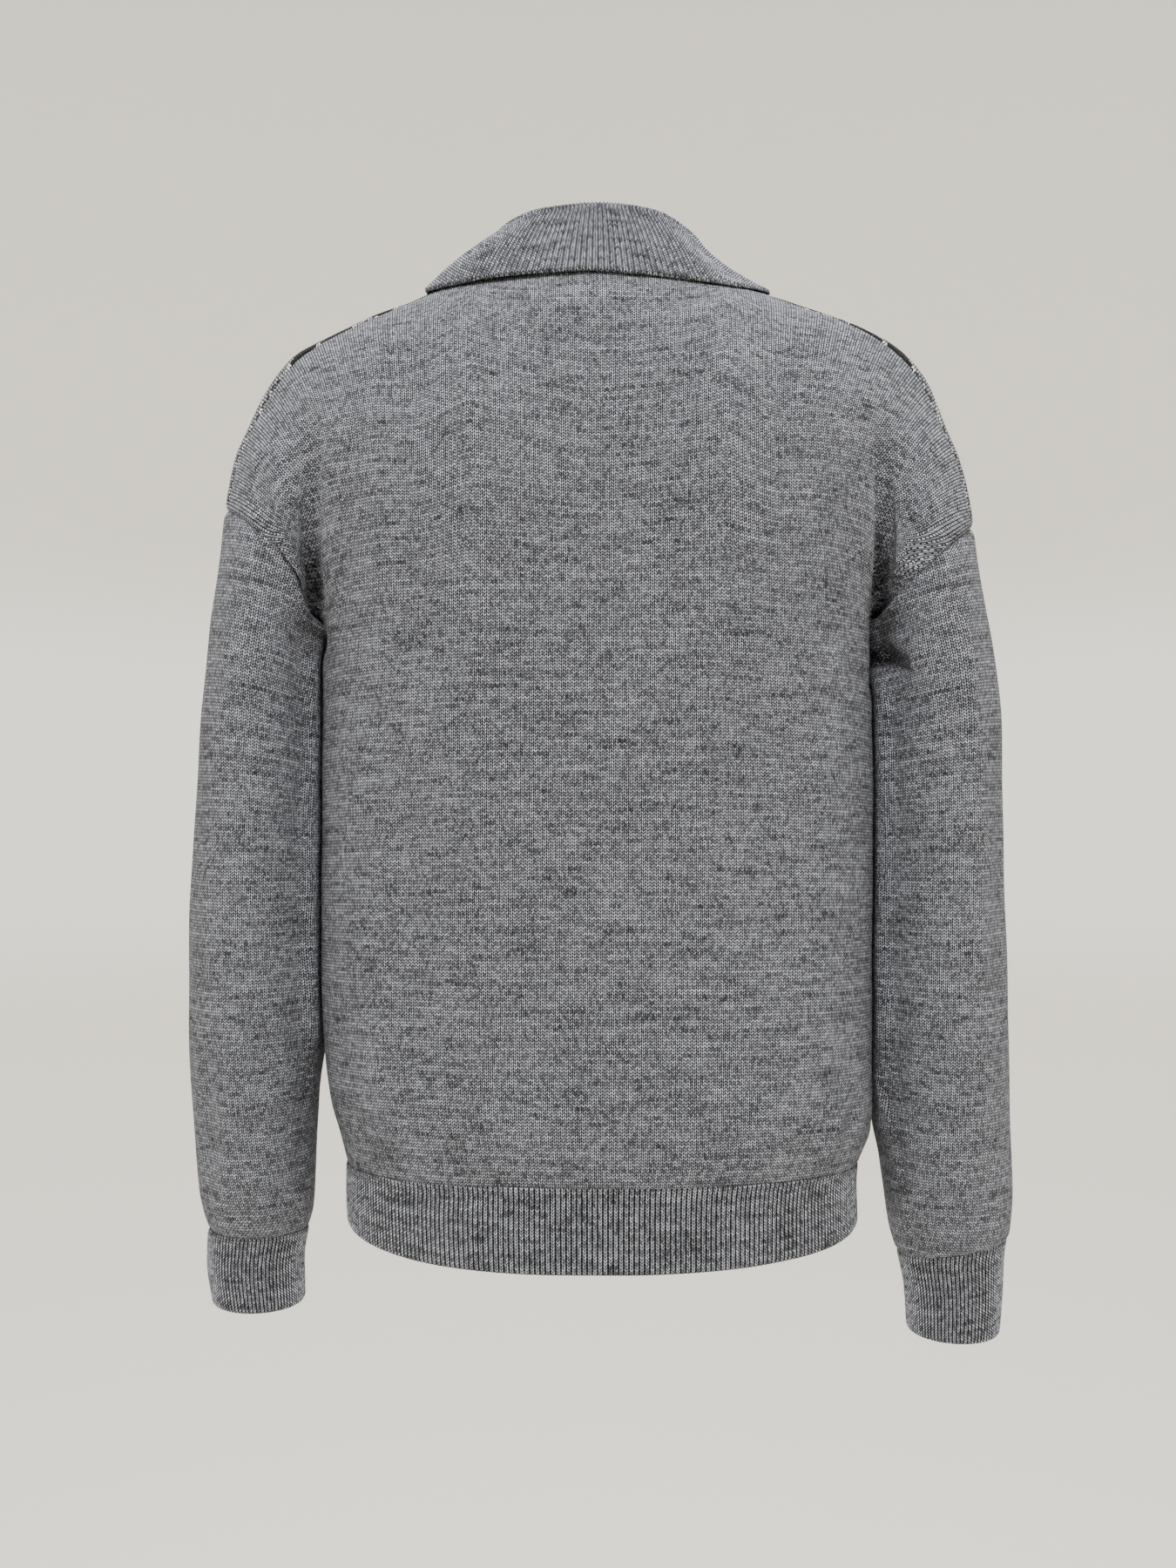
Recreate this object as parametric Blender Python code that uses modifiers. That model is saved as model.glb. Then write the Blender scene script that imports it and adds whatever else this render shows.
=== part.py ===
"""A knitted polo sweater, hollow, in the form that it keeps when worn.

It has a back and a front panel, dropped-shoulder sleeves that hang beside the body, ribbed cuffs and
hem, a fold-over ribbed collar and a short placket with three buttons.

Metres, +Z up. The front faces -Y and the wearer's left is +X. The origin is the middle of the neck
opening, level with the high points of the shoulders.
"""

import math
from collections import namedtuple

import bmesh
import bpy
import numpy as np

# ---- driving sizes ---------------------------------------------------------------------------------

WALL = 0.0016  # stockinette of the body and sleeves
RIB_WALL = 0.0020  # rib of the hem, cuffs and collar
SEAM_GAP = 0.0005  # between the edges of two pieces that are sewn together
ARMHOLE_GAP = 0.0008  # wider, because the walls turn sharply there
LAY_GAP = 0.0003  # between a piece and what lies on it

NECK_X = 0.075  # the high point of the shoulder, where collar, back and front meet
NECK_Z = -0.0065
NECK_DROP_BACK = 0.0115
NECK_DROP_FRONT = 0.0685

FOLD_TOP_Z = -0.100  # where the fold above the armpit starts
COLUMN_BOW = 3.0  # a panel's columns keep to the body's side for long before they lean outwards
SHOULDER_WRAP = 0.122  # how far the front reaches over the ridge, as a share of a column's half turn
NECK_TURN = 0.7  # the part of a half turn that a column under the neckline climbs
HEM_Z_SIDE = -0.576  # top of the hem rib
HEM_Z_MIDDLE = -0.570
HEM_END_Z_SIDE = -0.612
HEM_END_Z_MIDDLE = -0.621

PLACKET_HALF_WIDTH = 0.0140
PLACKET_PROUD = 0.0008  # the outer band stands this far out of the panel
BUTTON_RADIUS = 0.0055
BUTTON_THICK = 0.0022
BUTTON_DROPS = (0.016, 0.073, 0.130)  # from the front of the neck down to each button

GREY = (0.235, 0.239, 0.248, 1.0)
DARK_GREY = (0.105, 0.107, 0.112, 1.0)
BUTTON_GREY = (0.045, 0.046, 0.050, 1.0)

# ---- the form, as tables read by height ------------------------------------------------------------

# The outline over both shoulders, down to the underarm, and the exponents of its level sections: a
# higher `square` gives fuller corners, and a higher `rounding` a blunter end.
Outline = namedtuple("Outline", "z left right square rounding")
OUTLINE = (
    Outline(-0.0065, 0.0750, 0.0750, 1.60, 1.25),
    Outline(-0.0160, 0.0930, 0.0890, 1.60, 1.25),
    Outline(-0.0235, 0.1110, 0.1080, 1.60, 1.25),
    Outline(-0.0320, 0.1310, 0.1350, 1.62, 1.25),
    Outline(-0.0385, 0.1500, 0.1530, 1.64, 1.27),
    Outline(-0.0465, 0.1665, 0.1740, 1.66, 1.30),
    Outline(-0.0550, 0.1835, 0.1905, 1.70, 1.33),
    Outline(-0.0620, 0.1955, 0.1990, 1.74, 1.36),
    Outline(-0.0750, 0.2065, 0.2100, 1.80, 1.42),
    Outline(-0.0900, 0.2156, 0.2178, 1.86, 1.48),
    Outline(-0.1100, 0.2248, 0.2253, 1.92, 1.54),
    Outline(-0.1300, 0.2325, 0.2323, 1.98, 1.60),
    Outline(-0.1610, 0.2370, 0.2380, 2.08, 1.72),
    Outline(-0.2000, 0.2408, 0.2422, 2.20, 1.86),
    Outline(-0.2400, 0.2463, 0.2490, 2.30, 2.00),
)

# How far the body stands behind and before the plane of its side seams.
Depth = namedtuple("Depth", "z back front")
DEPTH = (
    Depth(-0.0065, 0.0480, 0.0300),
    Depth(-0.0180, 0.0680, 0.0390),
    Depth(-0.0360, 0.0940, 0.0520),
    Depth(-0.0700, 0.1080, 0.0720),
    Depth(-0.1200, 0.1170, 0.0960),
    Depth(-0.1800, 0.1210, 0.1100),
    Depth(-0.2400, 0.1210, 0.1160),
    Depth(-0.3100, 0.1200, 0.1140),
    Depth(-0.4000, 0.1175, 0.1100),
    Depth(-0.5000, 0.1165, 0.1065),
    Depth(-0.5450, 0.1180, 0.1075),
    Depth(-0.5620, 0.1170, 0.1065),
    Depth(-0.5740, 0.1155, 0.1050),
    Depth(-0.5900, 0.1150, 0.1040),
    Depth(-0.6220, 0.1140, 0.1030),
)

# The side seams, from the underarm to the end of the hem.
SideSeam = namedtuple("SideSeam", "z left right")
SIDE_SEAM = (
    SideSeam(-0.231, 0.1763, 0.1758),
    SideSeam(-0.260, 0.1757, 0.1751),
    SideSeam(-0.310, 0.1758, 0.1750),
    SideSeam(-0.450, 0.1755, 0.1755),
    SideSeam(-0.504, 0.1742, 0.1756),
    SideSeam(-0.535, 0.1706, 0.1757),
    SideSeam(-0.555, 0.1650, 0.1742),
    SideSeam(-0.566, 0.1622, 0.1700),
    SideSeam(-0.576, 0.1602, 0.1662),
    SideSeam(-0.590, 0.1606, 0.1652),
    SideSeam(-0.622, 0.1590, 0.1655),
)
BODY_SQUARE = 2.6
BODY_ROUNDING = 2.0

# Each sleeve's level sections: how far its outer and inner edges stand from the middle of the garment,
# and half its depth.
Sleeve = namedtuple("Sleeve", "z outer inner depth")
SLEEVE_LEFT = (
    Sleeve(-0.240, 0.2463, 0.1763, 0.0630),
    Sleeve(-0.262, 0.2486, 0.1787, 0.0635),
    Sleeve(-0.300, 0.2526, 0.1790, 0.0630),
    Sleeve(-0.358, 0.2566, 0.1790, 0.0620),
    Sleeve(-0.420, 0.2605, 0.1790, 0.0600),
    Sleeve(-0.480, 0.2602, 0.1788, 0.0570),
    Sleeve(-0.526, 0.2585, 0.1786, 0.0540),
    Sleeve(-0.565, 0.2560, 0.1797, 0.0510),
    Sleeve(-0.594, 0.2544, 0.1812, 0.0470),
    Sleeve(-0.608, 0.2520, 0.1824, 0.0430),
    Sleeve(-0.619, 0.2492, 0.1850, 0.0380),
    Sleeve(-0.640, 0.2498, 0.1885, 0.0360),
    Sleeve(-0.667, 0.2460, 0.1880, 0.0350),
)
SLEEVE_RIGHT = (
    Sleeve(-0.231, 0.2475, 0.1758, 0.0630),
    Sleeve(-0.253, 0.2515, 0.1783, 0.0635),
    Sleeve(-0.291, 0.2560, 0.1788, 0.0630),
    Sleeve(-0.340, 0.2580, 0.1789, 0.0620),
    Sleeve(-0.400, 0.2598, 0.1789, 0.0600),
    Sleeve(-0.470, 0.2620, 0.1789, 0.0570),
    Sleeve(-0.526, 0.2627, 0.1788, 0.0540),
    Sleeve(-0.565, 0.2635, 0.1800, 0.0510),
    Sleeve(-0.600, 0.2646, 0.1848, 0.0470),
    Sleeve(-0.620, 0.2634, 0.1882, 0.0430),
    Sleeve(-0.633, 0.2604, 0.1918, 0.0385),
    Sleeve(-0.660, 0.2592, 0.1975, 0.0360),
    Sleeve(-0.686, 0.2572, 0.1992, 0.0350),
)

# Where each armhole seam and cuff lies. `bow` bends the armhole seam down towards the body.
Side = namedtuple("Side", "name sign under_z shoulder_z bow rows cuff_outer_z cuff_inner_z end_z")
LEFT = Side("left", 1, -0.240, -0.161, 2.3, SLEEVE_LEFT, -0.6190, -0.6200, -0.6665)
RIGHT = Side("right", -1, -0.231, -0.172, 1.3, SLEEVE_RIGHT, -0.6240, -0.6350, -0.6855)

# The collar, from the middle of the back (turn 0) to its front end (turn 1): its fold, its outer edge
# as seen from above, the edge's height over the panel, how far each leaf bows outwards, and how much
# lower its fold sits on the right.
Collar = namedtuple(
    "Collar", "turn fold_x fold_y fold_z edge_x edge_y lift bow_left bow_right slump_right droop_right"
)
COLLAR = (
    Collar(0.00, 0.0000, 0.0660, 0.0158, 0.0000, 0.0955, 0.0060, 0.0020, 0.0020, 0.0000, 0.0004),
    Collar(0.16, 0.0318, 0.0580, 0.0158, 0.0520, 0.0815, 0.0062, 0.0022, 0.0018, 0.0010, 0.0024),
    Collar(0.32, 0.0560, 0.0355, 0.0126, 0.0905, 0.0490, 0.0036, 0.0040, -0.0024, 0.0040, 0.0008),
    Collar(0.48, 0.0660, 0.0045, 0.0085, 0.1105, 0.0065, 0.0036, 0.0030, -0.0006, 0.0034, 0.0002),
    Collar(0.62, 0.0620, -0.0300, -0.0040, 0.1050, -0.0400, 0.0050, 0.0024, -0.0002, 0.0030, 0.0000),
    Collar(0.76, 0.0460, -0.0600, -0.0240, 0.0930, -0.0650, 0.0062, 0.0020, 0.0008, 0.0000, 0.0000),
    Collar(0.90, 0.0210, -0.0785, -0.0450, 0.0730, -0.0830, 0.0080, 0.0015, 0.0010, 0.0000, 0.0000),
    Collar(1.00, 0.0030, -0.0830, -0.0570, 0.0540, -0.0910, 0.0090, 0.0010, 0.0010, 0.0000, 0.0000),
)
COLLAR_FOLD_RADIUS = 0.0034
COLLAR_HALF_OPENING = 0.0025  # between the collar's two ends and the middle

BACK = 1
FRONT = -1


# ---- reading the tables ----------------------------------------------------------------------------


def column(rows, name):
    """A smooth curve with no overshoot through one column of a table, read by its first column."""
    known = sorted((row[0], getattr(row, name)) for row in rows)
    at, value = np.array(known).T
    step = np.diff(at)
    slope = np.diff(value) / step
    together = slope[:-1] * slope[1:] > 0
    total = np.where(together, slope[:-1] + slope[1:], 1.0)
    between = np.where(together, 2 * slope[:-1] * slope[1:] / total, 0.0)
    lean = np.concatenate([slope[:1], between, slope[-1:]])

    def read(where):
        where = np.clip(where, at[0], at[-1])
        i = np.clip(np.searchsorted(at, where) - 1, 0, len(step) - 1)
        t = (where - at[i]) / step[i]
        start = (1 + 2 * t) * (1 - t) ** 2 * value[i] + t * (1 - t) ** 2 * step[i] * lean[i]
        end = t * t * (3 - 2 * t) * value[i + 1] - t * t * (1 - t) * step[i] * lean[i + 1]
        return start + end

    return read


outline_left = column(OUTLINE, "left")
outline_right = column(OUTLINE, "right")
outline_square = column(OUTLINE, "square")
outline_rounding = column(OUTLINE, "rounding")
depth_back = column(DEPTH, "back")
depth_front = column(DEPTH, "front")
seam_left = column(SIDE_SEAM, "left")
seam_right = column(SIDE_SEAM, "right")


def smoothstep(t):
    t = np.clip(t, 0.0, 1.0)
    return t * t * (3 - 2 * t)


def by_side(x, left, right):
    return np.where(x >= 0, left, right)


# ---- the surface that every piece lies on ----------------------------------------------------------


def oval(depth, reach, square, rounding):
    """The depth of a level section at a share of its half width."""
    return depth * (1 - np.clip(np.abs(reach), 0, 1) ** square) ** (1 / rounding)


def side_half_width(x, z):
    return by_side(x, seam_left(z), seam_right(z))


def sleeve_depth(side, x, z):
    """Half the depth of a hanging sleeve at the distance x from the middle of the garment."""
    outline = outline_left if side.sign > 0 else outline_right
    outer = np.where(z > side.under_z, outline(z), column(side.rows, "outer")(z))
    inner = column(side.rows, "inner")(z)
    reach = (2 * x - outer - inner) / (outer - inner)
    return oval(column(side.rows, "depth")(z), reach, 2.0, 2.0)


def surface_depth(x, z, face):
    """How far the body stands behind or before the plane of the side seams.

    Above the underarm, one section takes in the body and both upper sleeves. Towards the underarm it
    parts into an oval for the body and one for each sleeve, with a fold between them.
    """
    away = np.abs(x)
    depth = depth_back(z) if face == BACK else depth_front(z)
    half = side_half_width(x, z)
    whole = oval(
        depth, away / by_side(x, outline_left(z), outline_right(z)), outline_square(z), outline_rounding(z)
    )
    body = np.where(away < half, oval(depth, away / half, BODY_SQUARE, BODY_ROUNDING), 0.0)
    sleeve = np.where(
        away >= half, by_side(x, sleeve_depth(LEFT, away, z), sleeve_depth(RIGHT, away, z)), 0.0
    )
    under_z = by_side(x, LEFT.under_z, RIGHT.under_z)
    rise = np.clip((z - under_z) / (FOLD_TOP_Z - under_z), 0, 1)
    joined = rise ** (0.5 + 1.2 * smoothstep(np.abs(away - half) / 0.035))
    return joined * whole + (1 - joined) * np.maximum(body, sleeve)


def surface_height(x, y):
    """The height of the surface under a point seen from above, near the neck and shoulders."""
    low = np.full(np.shape(x), -0.300)
    high = np.full(np.shape(x), NECK_Z)
    for _ in range(40):
        middle = (low + high) / 2
        depth = np.where(
            y > 0, surface_depth(x, middle, BACK), surface_depth(x, middle, FRONT)
        )
        outside = by_side(x, outline_left(middle), outline_right(middle)) < np.abs(x)
        too_high = (depth < np.abs(y)) | outside
        high = np.where(too_high, middle, high)
        low = np.where(too_high, low, middle)
    return (low + high) / 2


def neck_height(x, face):
    share = np.clip(np.abs(x) / NECK_X, 0, 1)
    if face == BACK:
        return NECK_Z - NECK_DROP_BACK * np.sqrt(1 - share**2)
    return NECK_Z - NECK_DROP_FRONT * (1 - share**2.2) ** 0.6


def ridge_point(side, share):
    """A point of the shoulder's outline, at a share of its length from the neck to the armhole."""
    outline = outline_left if side.sign > 0 else outline_right
    z = NECK_Z + (side.shoulder_z - NECK_Z) * np.linspace(0, 1, 400) ** 2
    x = outline(z)
    length = np.concatenate([[0], np.cumsum(np.hypot(np.diff(x), np.diff(z)))])
    return np.interp(share * length[-1], length, x), np.interp(share * length[-1], length, z)


# ---- the two body panels ---------------------------------------------------------------------------

NECK_SHARE = math.asin(NECK_X / 0.176) / (math.pi / 2)
PLACKET_SHARE = math.asin(PLACKET_HALF_WIDTH / 0.176) / (math.pi / 2)


def under_row(across):
    """The level row between the two underarms, as (x, z)."""
    lean = np.sin(across * math.pi / 2)
    z = (LEFT.under_z + RIGHT.under_z) / 2 + (LEFT.under_z - RIGHT.under_z) / 2 * lean
    return side_half_width(across, z) * lean, z


def top_row(across, face):
    """The neckline and the shoulder ridges, as (x, z)."""
    x_under, _ = under_row(across)
    share = np.clip((np.abs(across) - NECK_SHARE) / (1 - NECK_SHARE), 0, 1)
    x_left, z_left = ridge_point(LEFT, share)
    x_right, z_right = ridge_point(RIGHT, share)
    in_neck = np.abs(across) < NECK_SHARE
    x_neck = np.clip(x_under, -NECK_X, NECK_X)
    x = np.where(in_neck, x_neck, by_side(across, x_left, -x_right))
    z = np.where(in_neck, neck_height(x_neck, face), by_side(across, z_left, z_right))
    return x, z


def half_turn(turn):
    """A share that leaves 0 and reaches 1 slowly, then comes back: a column's climb over the ridge."""
    return (1 - np.cos(math.pi * turn)) / 2


def shoulder_wrap(across):
    """How far past the ridge the front reaches, and how far short of it the back stops."""
    grown = 0.4 + 0.6 * smoothstep((np.abs(across) - NECK_SHARE) / 0.15)
    return np.where(np.abs(across) < NECK_SHARE - 1e-9, 0.0, SHOULDER_WRAP * grown)


def yoke_points(across, up, face):
    """Points above the underarm. `up` goes from 0 at the underarm to 1 at the neck or shoulder seam.

    The shoulder seam lies a little behind the ridge, so the front's columns pass over it.
    """
    x_low, z_low = under_row(across)
    x_high, z_high = top_row(across, face)
    turn = up * (1 - face * shoulder_wrap(across))
    climb = half_turn(turn)
    in_neck = np.abs(across) < NECK_SHARE - 1e-9
    beside = 0.8 * smoothstep(np.abs(across) / NECK_SHARE)
    neck_climb = (1 - beside) * half_turn(NECK_TURN * up) / half_turn(NECK_TURN) + beside * half_turn(up)
    climb = np.where(in_neck, neck_climb, climb)
    side_bow = by_side(across, LEFT.bow, RIGHT.bow)
    bow = side_bow + (COLUMN_BOW - side_bow) * smoothstep((1 - np.abs(across)) / 0.03)
    x = x_low + (x_high - x_low) * climb**bow
    z = z_low + (z_high - z_low) * climb
    over = (turn > 1) & ~in_neck
    depth = np.where(over, -surface_depth(x, z, BACK), surface_depth(x, z, face))
    return np.stack([x, face * depth, z], axis=-1)


def hem_height(across, side_z, middle_z):
    return side_z + (middle_z - side_z) * np.cos(across * math.pi / 2)


def body_points(across, low_z, high_z, up, face):
    """Points of the body's tube between two rows, with `up` from 0 at the lower one to 1."""
    z = low_z + (high_z - low_z) * up
    x = side_half_width(across, z) * np.sin(across * math.pi / 2)
    return np.stack([x, face * surface_depth(x, z, face), z], axis=-1)


def panel_points(across, lower_rows, upper_rows, face):
    """Rows of points from the hem rib to the neck and shoulders."""
    hem_z = hem_height(across, HEM_Z_SIDE, HEM_Z_MIDDLE)
    _, under_z = under_row(across)
    below = [body_points(across, hem_z, under_z, t, face) for t in lower_rows]
    above = [yoke_points(across, t, face) for t in upper_rows]
    return np.array(below + above)


# ---- turning rows of points into cloth -------------------------------------------------------------


def unit(vectors):
    return vectors / np.linalg.norm(vectors, axis=-1, keepdims=True)


def drawn_in(points, distance, edges):
    """The rows with the named edges moved in along the surface, square to the edge, for a seam's gap."""
    points = points.copy()
    pairs = {"start": (0, 1, 0), "end": (-1, -2, 0), "left": (0, 1, 1), "right": (-1, -2, 1)}
    for edge in edges:
        outer, inner, axis = pairs[edge]
        rows = np.moveaxis(points, axis, 0)
        along = unit(np.gradient(rows[outer], axis=0))
        inwards = rows[inner] - rows[outer]
        inwards = inwards - along * np.sum(inwards * along, axis=-1, keepdims=True)
        rows[outer] += distance * unit(inwards)
    return points


def fabric(name, colour):
    material = bpy.data.materials.new(name)
    material.use_nodes = True
    material.diffuse_color = colour
    shader = material.node_tree.nodes["Principled BSDF"]
    shader.inputs["Base Color"].default_value = colour
    shader.inputs["Roughness"].default_value = 0.95
    shader.inputs["Metallic"].default_value = 0.0
    return material


def cloth(name, points, wall, colour, outward, leave_out=None, joined=False):
    """A sheet through rows of points, thickened inwards. `outward` is a point that its first face sees."""
    rows, columns = points.shape[:2]
    sheet = bmesh.new()
    bmesh.ops.create_grid(sheet, x_segments=columns - 1, y_segments=rows - 1, size=1)
    sheet.verts.ensure_lookup_table()
    for vertex, place in zip(sheet.verts, points.reshape(-1, 3)):
        vertex.co = place
    if leave_out is not None:
        inside = [face for face in sheet.faces if leave_out(face.calc_center_median())]
        bmesh.ops.delete(sheet, geom=inside, context="FACES")
    if joined:
        bmesh.ops.remove_doubles(sheet, verts=sheet.verts, dist=1e-6)
    sheet.faces.ensure_lookup_table()
    first = sheet.faces[0]
    first.normal_update()
    if first.normal.dot(outward) < 0:
        bmesh.ops.reverse_faces(sheet, faces=sheet.faces)
    mesh = bpy.data.meshes.new(name)
    sheet.to_mesh(mesh)
    sheet.free()
    mesh.shade_smooth()
    mesh.materials.append(fabric(name, colour))
    thing = bpy.data.objects.new(name, mesh)
    garment.objects.link(thing)
    solid = thing.modifiers.new("wall", "SOLIDIFY")
    solid.thickness = wall
    solid.offset = -1
    return thing


# ---- the pieces ------------------------------------------------------------------------------------


def across_stops(extra=()):
    """Where a panel's columns lie, from the right side seam (-1) to the left one (1)."""
    neck = NECK_SHARE * np.array([0.0, 0.3, 0.55, 0.75, 0.9])
    shoulder = NECK_SHARE + (1 - NECK_SHARE) * np.append(np.linspace(0, 1, 9), 0.955)
    half = sorted(set(neck) | set(shoulder) | set(extra))
    return np.array([-stop for stop in reversed(half[1:])] + half)


LOWER_ROWS = np.array([0.0, 0.02, 0.06, 0.13, 0.38, 0.68, 0.92])
UPPER_ROWS = np.append(np.linspace(0, 0.91, 10), [0.985, 1.0])


def in_neck_slit(place):
    """Whether a place on the front panel is in the slit that the placket fills."""
    return abs(place.x) < PLACKET_HALF_WIDTH and place.z > LEFT.under_z + 0.003


def build_panels():
    seams = ("start", "end", "left", "right")
    for name, face, extra, colour in (
        ("back_panel", BACK, (), GREY),
        ("front_panel", FRONT, (PLACKET_SHARE,), DARK_GREY),
    ):
        points = panel_points(across_stops(extra), LOWER_ROWS, UPPER_ROWS, face)
        points = drawn_in(points, SEAM_GAP / 2, seams)
        armholes = len(LOWER_ROWS)
        points[armholes:] = drawn_in(points[armholes:], (ARMHOLE_GAP - SEAM_GAP) / 2, ("left", "right"))
        slit = in_neck_slit if face == FRONT else None
        cloth(name, points, WALL, colour, (0, face, 0), slit)


def build_hem():
    ups = np.array([0.0, 0.95, 1.0])
    across = across_stops()
    low = hem_height(across, HEM_END_Z_SIDE, HEM_END_Z_MIDDLE)
    high = hem_height(across, HEM_Z_SIDE, HEM_Z_MIDDLE)
    for name, face in (("hem_rib_back", BACK), ("hem_rib_front", FRONT)):
        points = np.array([body_points(across, low, high, t, face) for t in ups])
        points = drawn_in(points, SEAM_GAP / 2, ("end", "left", "right"))
        cloth(name, points, RIB_WALL, GREY, (0, face, 0))


def armhole_turns():
    """The armhole's points, up its back and down its front, at the same turns as the panels' columns."""
    wrap = float(shoulder_wrap(np.array(1.0)))
    behind = UPPER_ROWS * (1 - wrap)
    before = UPPER_ROWS[-2::-1] * (1 + wrap)
    return np.concatenate([behind, before]), np.repeat([BACK, FRONT], [len(behind), len(before)])


def sleeve_ring(side, t, top, bottom):
    """A ring of the sleeve between two tilted rings, each given as (outer z, inner z)."""
    outer_z = top[0] + (bottom[0] - top[0]) * t
    inner_z = top[1] + (bottom[1] - top[1]) * t
    outline = outline_left if side.sign > 0 else outline_right
    if outer_z > side.under_z:
        outer = outline(outer_z)
    else:
        outer = column(side.rows, "outer")(outer_z)
    inner = column(side.rows, "inner")(inner_z)
    bow = 1 + (side.bow - 1) * (1 - t) ** 4 if top[0] == side.shoulder_z else 1.0
    turns, faces = armhole_turns()
    faces = np.where(turns > 1, BACK, faces)
    across = half_turn(turns)
    away = inner + (outer - inner) * across**bow
    z = inner_z + (outer_z - inner_z) * across
    x = side.sign * away
    joined = np.where(faces == BACK, surface_depth(x, z, BACK), surface_depth(x, z, FRONT))
    depth = np.where(z > side.under_z, joined, sleeve_depth(side, away, z))
    return np.stack([x, faces * depth, z], axis=-1)


def build_sleeves():
    for side in (LEFT, RIGHT):
        armhole = (side.shoulder_z, side.under_z)
        wrist = (side.cuff_outer_z, side.cuff_inner_z)
        end = (side.end_z, side.end_z)
        downs = (0, 0.006, 0.06, 0.13, 0.22, 0.36, 0.53, 0.70, 0.86, 0.94, 0.975, 0.995, 1)
        sleeve = np.array([sleeve_ring(side, t, armhole, wrist) for t in downs])
        sleeve = drawn_in(drawn_in(sleeve, ARMHOLE_GAP / 2, ("start",)), SEAM_GAP / 2, ("end",))
        inward = (-side.sign, 0, 0)
        cloth(f"sleeve_{side.name}", sleeve, WALL, GREY, inward, joined=True)
        cuff = np.array([sleeve_ring(side, t, wrist, end) for t in (0, 0.04, 1)])
        cuff = drawn_in(cuff, SEAM_GAP / 2, ("start",))
        cloth(f"cuff_{side.name}", cuff, RIB_WALL, GREY, inward, joined=True)


def neck_seam(turns):
    """The collar's seam line, from the middle of the back (0) to the front (1), on the +X side."""
    angle = turns * math.pi
    x = NECK_X * np.sin(angle)
    face_back = turns < 0.5
    z = np.where(face_back, neck_height(x, BACK), neck_height(x, FRONT))
    y = np.where(face_back, surface_depth(x, z, BACK), -surface_depth(x, z, FRONT))
    return np.stack([x, y, z], axis=-1)


def collar_column(name):
    """A column of the collar's table, carried on past the middle of the back so that it is smooth there."""
    sign = -1 if name.endswith("_x") else 1
    other_side = [row._replace(turn=-row.turn, **{name: sign * getattr(row, name)}) for row in COLLAR[1:]]
    return column(other_side + list(COLLAR), name)


def collar_profile(turn, sign):
    """The collar's section at one turn: up the stand, over the fold and down the leaf."""
    read = {name: float(collar_column(name)(turn)) for name in Collar._fields[1:]}
    if sign < 0:
        read["fold_z"] -= read["slump_right"]
        read["lift"] -= read["droop_right"]
    seam = neck_seam(np.array([min(turn, 0.985)]))[0]
    seam = seam + (0, 0, 2.2 * SEAM_GAP)
    fold = np.array([read["fold_x"], read["fold_y"], read["fold_z"]])
    edge = np.array([read["edge_x"], read["edge_y"], 0.0])
    edge[2] = float(surface_height(sign * edge[:1], edge[1:2])[0]) + read["lift"]
    out = edge - fold
    out[2] = 0
    out = out / np.linalg.norm(out)
    middle = fold - (0, 0, COLLAR_FOLD_RADIUS)
    inside = middle - COLLAR_FOLD_RADIUS * out
    outside = middle + COLLAR_FOLD_RADIUS * out
    bow = read["bow_left"] if sign > 0 else read["bow_right"]
    slope = edge - outside
    lifted = np.array([-slope[2] * out[0], -slope[2] * out[1], np.linalg.norm(slope[:2])])
    lifted = lifted / np.linalg.norm(lifted)
    stand = [seam + (inside - seam) * t for t in (0.0, 0.5)]
    up = np.array([0, 0, 1])
    arc = [
        middle + COLLAR_FOLD_RADIUS * (math.sin(angle) * up - math.cos(angle) * out)
        for angle in np.linspace(0, math.pi, 5)
    ]
    leaf = [outside + slope * t + 4 * t * (1 - t) * bow * lifted for t in (0.3, 0.65, 1.0)]
    points = np.array(stand + arc + leaf)
    points[:, 0] = np.maximum(points[:, 0], COLLAR_HALF_OPENING) if turn > 0.5 else points[:, 0]
    return points * (sign, 1, 1)


def build_collar():
    turns = np.linspace(0, 1, 15)
    right = [collar_profile(turn, -1) for turn in turns[::-1]]
    left = [collar_profile(turn, 1) for turn in turns[1:]]
    cloth("collar", np.array(right + left), RIB_WALL, GREY, (0, 1, 0.2))


def placket_points(proud):
    """A band over the front's slit, standing this far out of the panel's surface."""
    x = np.linspace(-1, 1, 5) * (PLACKET_HALF_WIDTH - SEAM_GAP)
    top = neck_height(x, FRONT) - SEAM_GAP
    bottom = (LEFT.under_z + RIGHT.under_z) / 2 + 0.0006
    rows = []
    for t in np.linspace(0, 1, 12):
        z = bottom + (top - bottom) * t
        rows.append(np.stack([x, -surface_depth(x, z, FRONT) - proud, z], axis=-1))
    return np.array(rows)


def build_placket():
    cloth("placket_over", placket_points(PLACKET_PROUD), WALL, GREY, (0, -1, 0))
    cloth("placket_under", placket_points(PLACKET_PROUD - WALL - LAY_GAP), WALL, GREY, (0, -1, 0))


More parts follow.
